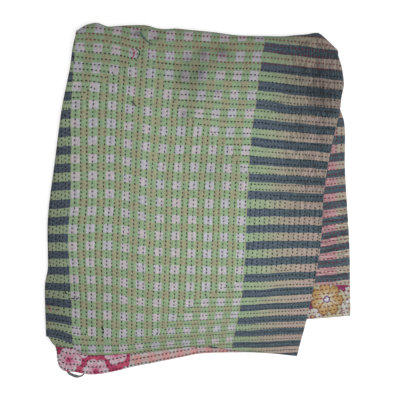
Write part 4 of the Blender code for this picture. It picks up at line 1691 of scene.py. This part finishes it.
@dataclass(frozen=True)
class WornCotton:
    """Plain-weave cotton, washed soft: matt, with a faint nap, uneven yarns, and a pit with
    small gathers where each stitch pulls it in. Its colour carries stains, painted shade in the pits,
    in the gathers' troughs and where the light falls off, and a painted highlight on the lying
    gathers' crests."""

    roughness: float = 0.92
    specular: float = 0.25
    sheen: float = 0.1
    sheen_roughness: float = 0.5
    yarn_pitch: float = 0.9  # mm; real yarns lie 0.4 mm apart, drawn coarser to show
    weave_depth: float = 0.1  # mm
    slub_length: float = 15.0  # mm
    slub_width: float = 2.2  # mm; a thick yarn is 0.6 mm, drawn coarser to show
    slub_spread: float = 0.2  # how much lighter or darker the yarns make the cloth
    pit_long: float = 2.0  # mm, how far a stitch's pit reaches along its row
    pit_wide: float = 1.8  # mm, and across it
    pit_depth: float = 1.1  # mm
    gather_depth: float = 0.5  # mm
    gather_reach: float = 4.2  # mm
    # painted shade round each stitch, darkest in its pit
    pit_shade: float = 0.56
    # the colour that stains and painted shade darken the print towards
    stain: str = "4c4a52"
    pleat_pitch: float = 5.5  # mm, between the fine gathers where the cloth is drawn up
    pleat_run: float = 42.0  # mm, how far each runs
    pleat_depth: float = 1.1  # mm
    # painted shade in the bottoms of the fine gathers
    pleat_shade: float = 0.44
    crest_lift: float = 0.52  # painted highlight: how much lighter the colour is on the crests between lying gathers, of the gathers' painted shade

    def shader(self, tree: Any, place: Any, colour: Any) -> Any:
        """The cotton's surface.

        Args:
            tree: The material's tree.
            place: Object coordinates, in metres.
            colour: The print's colour.

        Returns:
            The shader.
        """
        add = partial(add_node, tree)
        weave, uneven = self.yarns(tree, place)
        pits = add("Group", node_tree=self.pit_group()).node.outputs
        # The attribute carries stains, painted shade and the gathers' shares.
        wear = add("Attribute", attribute_name="wear", pick="Vector")
        soil_and_shade, upright, lying = add("SeparateXYZ", wear).node.outputs[:3]
        pleats = add("ADD", self.pleats(tree, place, upright, True),
                     self.pleats(tree, place, lying, False))
        relief = add("ADD", weave, pits["Height"])
        height = add("MULTIPLY_ADD", pleats, -self.pleat_depth, relief)
        # Painted shade in the gathers' troughs, less a painted highlight on the crests between lying
        # ones, scales the colour.
        drawn = add("MULTIPLY_ADD", lying, -self.crest_lift, pleats)
        darker = add("MULTIPLY_ADD", drawn, -self.pleat_shade, 1.0)
        # The pits' painted shade, and the stains and broad painted shade carried by the attribute,
        # darken the print.
        shaded = add("MULTIPLY", uneven, pits["Shade"])
        worn_and_shaded = add("Mix", soil_and_shade, at={6: colour, 7: linear(self.stain)}, pick=2, data_type="RGBA",
                   blend_type="MULTIPLY")
        mottled_and_shaded = add("VectorMath", worn_and_shaded, operation="SCALE",
                      at={"Scale": add("MULTIPLY", shaded, darker)})
        lift = add("Bump", at={"Strength": 1.0, "Distance": MM, "Height": height})
        return add("BsdfPrincipled", at={"Base Color": mottled_and_shaded, "Normal": lift,
                                         "Roughness": self.roughness,
                                         "Specular IOR Level": self.specular,
                                         "Sheen Weight": self.sheen,
                                         "Sheen Roughness": self.sheen_roughness})

    def pleats(self, tree: Any, place: Any, share: Any, upright: bool) -> Any:
        """The fine gathers that run one way.

        Args:
            tree: The material's tree.
            place: Object coordinates, in metres.
            share: How far the cloth is drawn up, 0 to 1.
            upright: Whether they run up the cloth.

        Returns:
            1 in the bottom of each where the share is 1, down to 0.
        """
        add = partial(add_node, tree)
        steps = [1 / (self.pleat_pitch * MM), 1 / (self.pleat_run * MM)]
        if not upright:
            steps.reverse()
        mapped = add("Mapping", place, at={"Scale": (*steps, 1.0)})
        wave = add("TexNoise", mapped, at={"Scale": 1.0, "Detail": 1.0})
        away = add("ABSOLUTE", add("SUBTRACT", wave, 0.5))
        return add("MULTIPLY", add("MapRange", away, 0.09, 0.0), share)

    def yarns(self, tree: Any, place: Any) -> tuple[Any, Any]:
        """The weave's bump height, and the yarns' unevenness.

        Args:
            tree: The material's tree.
            place: Object coordinates, in metres.

        Returns:
            The bump height in millimetres, and the factor on the colour, about 1.
        """
        add = partial(add_node, tree)
        turn = math.pi / (self.yarn_pitch * MM)
        mapped = add("Mapping", place, at={"Scale": (turn, turn, turn)})
        parts = add("SeparateXYZ", mapped).node.outputs
        woven = add("MULTIPLY", add("SINE", parts[0]), add("SINE", parts[1]))
        thin, long = 1 / self.slub_width, 1 / self.slub_length
        total: Any = 0.0
        for scale in ((long, thin, 1), (thin, long, 1), (0.3, 0.3, 1)):
            stretch = add("Mapping", place, at={"Scale": [value / MM for value in scale]})
            slub = add("TexNoise", stretch, at={"Scale": 1.0, "Detail": 2.0})
            total = add("ADD", slub, total)
        factor = add("MapRange", total, 1.1, 1.9, 1 - self.slub_spread, 1 + self.slub_spread)
        return add("MULTIPLY", woven, self.weave_depth), factor

    def pit_group(self) -> bpy.types.NodeTree:
        """The shared group that gives the stitches' pits: their bump height and their shade."""
        name = "stitch_pits"
        if name in bpy.data.node_groups:
            return bpy.data.node_groups[name]
        tree = bpy.data.node_groups.new(name, "ShaderNodeTree")
        add = partial(add_node, tree)
        for output in ("Height", "Shade"):
            tree.interface.new_socket(output, in_out="OUTPUT", socket_type="NodeSocketFloat")
        laid = add("Attribute", attribute_name="quilting", pick="Vector")
        row, column, turned = add("SeparateXYZ", laid).node.outputs[:3]
        lengthwise = add("GREATER_THAN", turned, 0.5)
        pit, gather = (add("Mix", lengthwise, at={2: across, 3: along}, data_type="FLOAT")
                       for across, along in zip(self.pits(tree, row, column, ROW_STITCH),
                                                self.pits(tree, column, row, COLUMN_STITCH)))
        sunk = add("MULTIPLY", pit, -self.pit_depth)
        height = add("MULTIPLY_ADD", gather, self.gather_depth, sunk)
        add("NodeGroupOutput", height, add("MULTIPLY_ADD", pit, -self.pit_shade, 1.0))
        return tree

    def pits(self, tree: Any, number: Any, along: Any, spacing: float) -> tuple[Any, Any]:
        """The pits and gathers of the rows that run one way.

        Args:
            tree: The group's tree.
            number: The row's number, whole on a row.
            along: The number of the other way's row, which tells the place along this one.
            spacing: Millimetres from stitch to stitch.

        Returns:
            The pit, 1 at a stitch, and the gather, from -1 at a stitch to 1 between two.
        """
        add = partial(add_node, tree)
        nearest = add("ROUND", number)
        aside = add("MULTIPLY", add("SUBTRACT", number, nearest), ROW_SPACING)
        run = add("MULTIPLY", along, ROW_SPACING / spacing)
        phase = add("FRACT", add("MULTIPLY_ADD", nearest, STITCH_SHIFT, run))
        phase = add("SUBTRACT", phase, 0.5)
        near, beside, reach = (add("MULTIPLY", scaled, scaled)
                               for scaled in (add("MULTIPLY", phase, spacing / self.pit_long),
                                              add("MULTIPLY", aside, 1 / self.pit_wide),
                                              add("MULTIPLY", aside, 1 / self.gather_reach)))
        pit, faded = (add("EXPONENT", add("MULTIPLY", total, -1.0))
                      for total in (add("ADD", near, beside), reach))
        wave = add("COSINE", add("MULTIPLY", phase, 2 * math.pi))
        return pit, add("MULTIPLY", add("MULTIPLY", wave, faded), -1.0)


@dataclass(frozen=True)
class CheckCotton(Finish):
    """Yarn-dyed check with a stripe band on both sides: leaf, straw and pale, slate stripes."""

    name: str = "yarn_dyed_check_cotton"
    pale: str = "bdb4b7"
    pale_cool: str = "b5b3bb"
    leaf: str = "8fa684"
    straw: str = "9a9a7e"
    slate: str = "525d6a"
    slate_hem: str = "4c5a62"
    # a darker slate for the left band, painted shade where the cloth rounds the long fold
    slate_left: str = "4d5763"
    beige: str = "a09a88"
    blush: str = "a8978f"
    rose: str = "b1898e"
    ragged: float = 0.04  # how far a dyed edge strays, in rows of the print
    grain: float = 270.0  # blotches a metre where the slate yarns took the dye unevenly
    sway: float = 0.17  # how far a stripe wanders over a hand's width, likewise
    base: WornCotton = WornCotton()

    def surface(self, tree: Any, place: Any) -> Any:
        """The check and its stripe bands, from the cloth's print coordinates."""
        add = partial(add_node, tree)
        laid = add("Attribute", attribute_name="print", pick="Vector")
        moved = strayed(tree, laid, place, 260.0, 3.0, (self.ragged, self.ragged, self.ragged))
        moved = strayed(tree, moved, place, 17.0, 1.0, (self.sway, self.sway, 0.0))
        parts = add("SeparateXYZ", moved).node.outputs
        column, row = (band(tree, parts[axis], 100.5, 0.015) for axis in (0, 1))
        either = add("MAXIMUM", column, row)
        both = add("MULTIPLY", column, row)
        cool = add("TexNoise", place, at={"Scale": 20.0, "Detail": 1.0})
        cast = add("MapRange", cool, 0.4, 0.6)
        pale = layered(tree, self.pale, ((cast, self.pale_cool),))
        check = layered(tree, self.straw, ((either, self.leaf), (both, pale)))
        tone = add("ValToRGB", parts[2])
        stops = tone.node.color_ramp.elements
        stops[0].color = linear(self.leaf)
        stops[1].color = linear(self.rose)
        stops.new(0.33).color = linear(self.beige)
        stops.new(0.66).color = linear(self.blush)
        # The left band takes the darker slate, painted shade by the long fold.
        left = add("LESS_THAN", parts[0], 5.0)
        to_hem = add("MapRange", parts[2], 0.0, 0.5)
        slate = layered(tree, self.slate, ((to_hem, self.slate_hem), (left, self.slate_left)))
        dyed = add("TexNoise", place, at={"Scale": self.grain, "Detail": 2.0})
        dyed = add("MapRange", dyed, 0.3, 0.7, 0.6, 1.4)
        slate = add("VectorMath", slate, at={"Scale": dyed}, operation="SCALE")
        inside = add("MULTIPLY", add("GREATER_THAN", parts[0], CHECK_FIRST),
                     add("LESS_THAN", parts[0], CHECK_LAST))
        colour = layered(tree, slate, ((row, tone), (inside, check)))
        return self.base.shader(tree, place, colour)


class FlowerDye(NamedTuple):
    """A printed flower's colours: petals, the shading at their roots, rims, ring and heart."""

    petal: str
    deep: str
    rim: str
    ring: str
    heart: str


class Bloom(NamedTuple):
    """A printed flower: its middle, its reach in millimetres, its petals, turn and colours."""

    x: float
    y: float
    reach: float
    petals: int
    turn: float
    dye: FlowerDye


@dataclass(frozen=True)
class FlowerCotton(Finish):
    """Printed cotton with big open flowers, streaked from the heart, on a clouded ground."""

    name: str
    ground: str
    ground_dark: str
    cloud: float  # share of the ground that takes the darker colour
    blooms: tuple[Bloom, ...]
    lobes: float = 0.3  # how deep the notches between petals are, of the reach
    tips: float = 0.45  # power that rounds the petals' tips
    heart: float = 0.13  # the heart's radius, of the reach
    ring: float = 0.21
    streaks: float = 3.6  # how close the streaks lie round a flower
    streaked: float = 1.7  # and how far they break the shading
    shaded_to: float = 0.7  # how far out the shading of the roots goes, of the petal
    bleed: float = 0.007  # metres, how far the printed edges wander
    base: WornCotton = WornCotton()

    def bloom(self, tree: Any, place: Any, bloom: Bloom, under: Any) -> Any:
        """Lay one flower over a colour.

        Args:
            tree: The material's tree.
            place: Object coordinates.
            bloom: The flower.
            under: The colour that it is printed on.

        Returns:
            The colour with the flower.
        """
        add = partial(add_node, tree)
        centre = to_frame(np.array([bloom.x, bloom.y, 0.0]))
        reach = bloom.reach * MM
        flat = add("VectorMath", place, (1.0, 1.0, 0.0), (-centre[0], -centre[1], 0.0),
                   operation="MULTIPLY_ADD")
        parts = add("SeparateXYZ", flat).node.outputs
        radius = add("VectorMath", flat, operation="LENGTH", pick="Value")
        angle = add("ARCTAN2", parts[1], parts[0])
        spun = add("MULTIPLY_ADD", angle, bloom.petals / 2, bloom.turn)
        lobe = add("ABSOLUTE", add("COSINE", spun))
        edge = add("MULTIPLY_ADD", add("POWER", lobe, self.tips), reach * self.lobes,
                   reach * (1 - self.lobes))
        depth = add("DIVIDE", radius, edge)
        ray = add("VectorMath", flat, operation="NORMALIZE")
        streak = add("TexNoise", ray, at={"Scale": self.streaks, "Detail": 2.0})
        shaded = add("MULTIPLY_ADD", add("SUBTRACT", streak, 0.5), self.streaked, depth)
        root, seam, rim, inside, ring, heart = (add("MapRange", value, none, full) for value, none,
                                                full in ((shaded, self.shaded_to, 0.2),
                                                         (lobe, 0.26, 0.04), (depth, 0.86, 0.97),
                                                         (depth, 1.03, 0.98),
                                                         (radius, (self.ring + 0.02) * reach,
                                                          (self.ring - 0.02) * reach),
                                                         (radius, (self.heart + 0.02) * reach,
                                                          (self.heart - 0.02) * reach)))
        dye = bloom.dye
        petals = layered(tree, dye.petal, ((root, dye.deep), (add("MULTIPLY", seam, 0.75), dye.rim),
                                           (rim, dye.rim)))
        return layered(tree, under, ((inside, petals), (ring, dye.ring), (heart, dye.heart)))

    def surface(self, tree: Any, place: Any) -> Any:
        """The flowers, one over another, on their ground."""
        moved = strayed(tree, place, place, 110.0, 3.0, (self.bleed, self.bleed, self.bleed))
        wash = add_node(tree, "TexNoise", place, at={"Scale": 30.0, "Detail": 1.5})
        edge = 0.5 + (0.5 - self.cloud) * 0.35
        shade = add_node(tree, "MapRange", wash, edge - 0.03, edge + 0.03)
        colour = layered(tree, self.ground, ((shade, self.ground_dark),))
        for bloom in self.blooms:
            colour = self.bloom(tree, moved, bloom, colour)
        return self.base.shader(tree, place, colour)


@dataclass(frozen=True)
class SalmonCheckCotton(Finish):
    """Woven two-colour check: salmon squares between grey-white ones."""

    name: str = "salmon_check_cotton"
    salmon: str = "cb9795"
    mid: str = "c2a6a4"
    pale: str = "bfbdbb"
    pitch: float = 33.0  # mm, from one salmon square to the next
    turn: float = -0.12  # how the check lies to the hem, in radians
    base: WornCotton = WornCotton()

    def surface(self, tree: Any, place: Any) -> Any:
        """The check, straight on the cloth."""
        add = partial(add_node, tree)
        scale = 1 / (self.pitch * MM)
        mapped = add("Mapping", place, at={"Scale": (scale, scale, scale),
                                           "Rotation": (0.0, 0.0, self.turn)})
        parts = add("SeparateXYZ", mapped).node.outputs
        first, second = (band(tree, parts[axis], 50.0, 0.02) for axis in (0, 1))
        either = add("MAXIMUM", first, second)
        both = add("MULTIPLY", first, second)
        colour = layered(tree, self.pale, ((either, self.mid), (both, self.salmon)))
        return self.base.shader(tree, place, colour)


@dataclass(frozen=True)
class SewingThread(Finish):
    """Soft twisted cotton sewing thread, faded here and there."""

    name: str
    colour: str
    faded: str
    roughness: float = 0.85
    twist: float = 2200.0  # turns of its ply a metre

    def surface(self, tree: Any, place: Any) -> Any:
        """The thread's colour and the bumps of its twist."""
        add = partial(add_node, tree)
        patchy = add("TexNoise", place, at={"Scale": 140.0, "Detail": 2.0})
        share = add("MapRange", patchy, 0.4, 0.75)
        twist = add("TexNoise", place, at={"Scale": self.twist, "Detail": 1.0})
        lift = add("Bump", at={"Strength": 0.5, "Distance": 0.2 * MM, "Height": twist})
        return add("BsdfPrincipled", at={"Base Color": layered(tree, self.colour,
                                                               ((share, self.faded),)), "Normal": lift,
                                         "Roughness": self.roughness, "Specular IOR Level": 0.2,
                                         "Sheen Weight": 0.1})


@dataclass(frozen=True)
class FloorPaper(Finish):
    """Matt white paper, with a glow of its own that keeps it even."""

    name: str = "matt_white_paper"
    colour: str = "b2b2b2"
    glow: float = 0.74

    def surface(self, tree: Any, place: Any) -> Any:
        """The plain paper."""
        return add_node(tree, "BsdfPrincipled",
                        at={"Base Color": linear(self.colour), "Roughness": 0.95,
                            "Emission Color": WHITE, "Emission Strength": self.glow})


class Lamp(NamedTuple):
    """A square soft light: its power, its side, its place and what it is aimed at."""

    name: str
    power: float
    side: float
    place: tuple[float, float, float]
    target: tuple[float, float, float]


@dataclass(frozen=True)
class Studio:
    """A pale floor, soft light and a camera straight above."""

    view_width: float = 0.9568  # metres of floor across the picture
    centre: tuple[float, float] = (0.0235, -0.0166)
    height: float = 3.0
    sensor: float = 36.0
    focus_level: float = 0.012  # the height that the view's width is measured at
    floor_reach: float = 4.0
    floor_level: float = -0.0002
    world_light: float = 0.34
    lamps: tuple[Lamp, ...] = (
        Lamp("key", 7.2, 0.6, (0.14, -0.1, 1.0), (0.14, -0.1, 0.0)),
        Lamp("rake", 6.0, 0.4, (1.3, -0.1, 0.55), (0.05, 0.05, 0.0)),
    )

    def build(self) -> None:
        """Make the floor, the lights and the camera."""
        scene = bpy.context.scene
        scene.view_settings.view_transform = "Standard"
        self.make_floor()
        self.make_lights()
        data = bpy.data.cameras.new("camera")
        data.sensor_width = self.sensor
        data.lens = self.sensor * (self.height - self.focus_level) / self.view_width
        camera = link_object("camera", data)
        camera.location = (*self.centre, self.height)
        scene.camera = camera

    def make_floor(self) -> None:
        """The pale floor, just under the cloth."""
        corners = np.array([(-1, -1, 0), (1, -1, 0), (1, 1, 0), (-1, 1, 0)]) * self.floor_reach
        floor = mesh_object("floor", corners, [(0, 1, 2, 3)])
        floor.data.materials.append(FloorPaper().build())
        floor.location.z = self.floor_level

    def make_lights(self) -> None:
        """Even light from all round, a soft light above and one that rakes from the right."""
        world = bpy.data.worlds.new("studio")
        world.use_nodes = True
        backdrop = world.node_tree.nodes["Background"]
        backdrop.inputs["Color"].default_value = WHITE
        backdrop.inputs["Strength"].default_value = self.world_light
        bpy.context.scene.world = world
        for lamp in self.lamps:
            data = bpy.data.lights.new(lamp.name, "AREA")
            data.shape = "SQUARE"
            data.size = lamp.side
            data.energy = lamp.power
            light = link_object(lamp.name, data)
            light.location = lamp.place
            light.rotation_mode = "QUATERNION"
            aim = Vector(lamp.target) - Vector(lamp.place)
            light.rotation_quaternion = aim.to_track_quat("-Z", "Y")


PEONY = FlowerDye("d2c8cd", "cd7a98", "c39aab", "c2567c", "b04468")
MARIGOLD = FlowerDye("ab8d5e", "c0bca8", "7f5f42", "6a507e", "c4c2cc")
DAISY = FlowerDye("b9b8b2", "a39a86", "836a5c", "7c5070", "bd9a55")
ASTER = FlowerDye("8c3a68", "74294f", "6d3050", "b88f4c", "c8ba94")
ROSE_COTTON = FlowerCotton(
    name="rose_print_cotton", ground="c2506f", ground_dark="b04265", cloud=0.5, shaded_to=1.0,
    blooms=(
        Bloom(-262, -336, 25, 5, 0.9, PEONY), Bloom(-334, -398, 26, 5, 0.2, PEONY),
        Bloom(-298, -365, 30, 6, 0.5, PEONY), Bloom(-190, -350, 27, 5, 1.2, PEONY),
        Bloom(-236, -392, 31, 6, 0.3, PEONY), Bloom(-160, -394, 17, 5, 0.4, PEONY),
    ),
)
MARIGOLD_COTTON = FlowerCotton(
    name="marigold_print_cotton", ground="aaa58b", ground_dark="793562", cloud=0.45,
    lobes=0.38,
    blooms=(
        Bloom(352, -246, 25, 6, 0.9, DAISY), Bloom(332, -186, 23, 6, 0.5, ASTER),
        Bloom(349, -206, 13, 5, 0.5, DAISY), Bloom(263, -266, 24, 5, 0.1, DAISY),
        Bloom(296, -225, 38, 7, 0.2, MARIGOLD),
    ),
)
RUNNING_THREADS = {
    Thread.DARK: SewingThread("black_cotton_thread", "090c0e", "181d1f"),
    Thread.RED: SewingThread("red_cotton_thread", "6c1826", "842c3a"),
    Thread.BLUE: SewingThread("blue_cotton_thread", "24456c", "3a6088"),
}
TEAL = SewingThread("teal_cotton_thread", "26505f", "346373")
ROSE = SewingThread("rose_cotton_thread", "9c3347", "ab4a5a")
BLACK = SewingThread("black_loop_thread", "0c1110", "1c2320")
NAVY = SewingThread("navy_cotton_thread", "1f2c40", "2c3b52")
SLACK_STITCHES = (
    SlackStitch("slack_blue_stitch", ((-132, 388), (-125.5, 377), (-116, 367), (-104.5, 359)),
                1.5, 1.0, TEAL),
    SlackStitch("slack_red_loop", ((-153, 352), (-147, 347), (-146, 338), (-153, 326)),
                2.0, 1.1, ROSE),
    SlackStitch("slack_black_loop", ((-144, 352), (-134.5, 345), (-134.5, 336), (-141, 329)),
                2.0, 0.8, BLACK),
    SlackStitch("slack_dark_stitch", ((-153, 230), (-147, 225), (-141.5, 218.5)), 1.0, 1.1, BLACK),
    SlackStitch("slack_navy_stitch", ((25, -333), (34, -335.5), (43, -338.5)), 1.2, 1.5, NAVY),
    SlackStitch("slack_teal_stitch", ((279.5, 112.5), (286, 117), (293, 122)), 0.8, 0.8, TEAL),
    SlackStitch("slack_rose_stitch", ((-346, -238), (-341, -243), (-338, -251)), 0.8, 0.8, ROSE),
    SlackStitch("slack_curved_stitch", ((-280, -223.5), (-277, -222.8), (-274, -220.5)),
                0.8, 1.2, BLACK),
    SlackStitch("slack_left_stitch", ((-290, -221.5), (-287, -222.3), (-283.5, -222.6)),
                0.8, 1.2, BLACK),
    SlackStitch("slack_short_stitch", ((-305, -206.5), (-303.5, -209), (-301.8, -211.5)),
                0.8, 1.2, BLACK),
    SlackStitch("slack_knot_stitch", ((-221.5, -288), (-218.8, -290.8), (-217.3, -293.8)),
                1.0, 1.5, BLACK),
    SlackStitch("slack_low_stitch", ((-217.4, -298), (-217.2, -300), (-216.9, -302)),
                0.8, 1.4, BLACK),
)


def sewing(fold: Fold, cloth: QuiltCloth, plan: StitchPlan) -> list[bpy.types.Object]:
    """Lay the running stitches of every thread and the slack ones.

    Args:
        fold: The fold.
        cloth: The cloth.
        plan: Where the running stitches lie.

    Returns:
        The pieces.
    """
    made = [StitchSet(cloth, plan, thread).build(finish.build())
            for thread, finish in RUNNING_THREADS.items()]
    loose = LooseStitches(fold, cloth)
    materials = {finish: finish.build() for finish in (TEAL, ROSE, BLACK, NAVY)}
    for stitch in SLACK_STITCHES:
        piece = loose.build(stitch)
        piece.data.materials.append(materials[stitch.thread])
        made.append(piece)
    for piece in made:
        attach(piece, "root")
        LOG.info("%s: %d faces", piece.name, len(piece.data.polygons))
    return made


def main() -> None:
    """Load the frame, make each piece and attach it to the root body."""
    logging.basicConfig(level=logging.INFO, format="%(name)s: %(message)s")
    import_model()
    Studio().build()
    fold = Fold()
    print_map = PrintMap(fold)
    quilting = Quilting(print_map)
    cloth = QuiltCloth(fold, quilting, print_map)
    quilt = cloth.build()
    for finish in (CheckCotton(), ROSE_COTTON, SalmonCheckCotton(), MARIGOLD_COTTON):
        quilt.data.materials.append(finish.build())
    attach(quilt, "root")
    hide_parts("quilt")
    LOG.info("%s: %d faces", quilt.name, len(quilt.data.polygons))
    loop = TornHemLoop().build()
    loop.data.materials.append(SewingThread("torn_slate_cotton", "4a5562", "968c78").build())
    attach(loop, "root")
    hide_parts("hem_loop")
    LOG.info("%s: %d faces", loop.name, len(loop.data.polygons))
    stitches = sewing(fold, cloth, StitchPlan(quilting))
    flat = fold.flat_size()
    LOG.info("flat size %.3f by %.3f m", *flat)


if __name__ == "__main__":
    main()
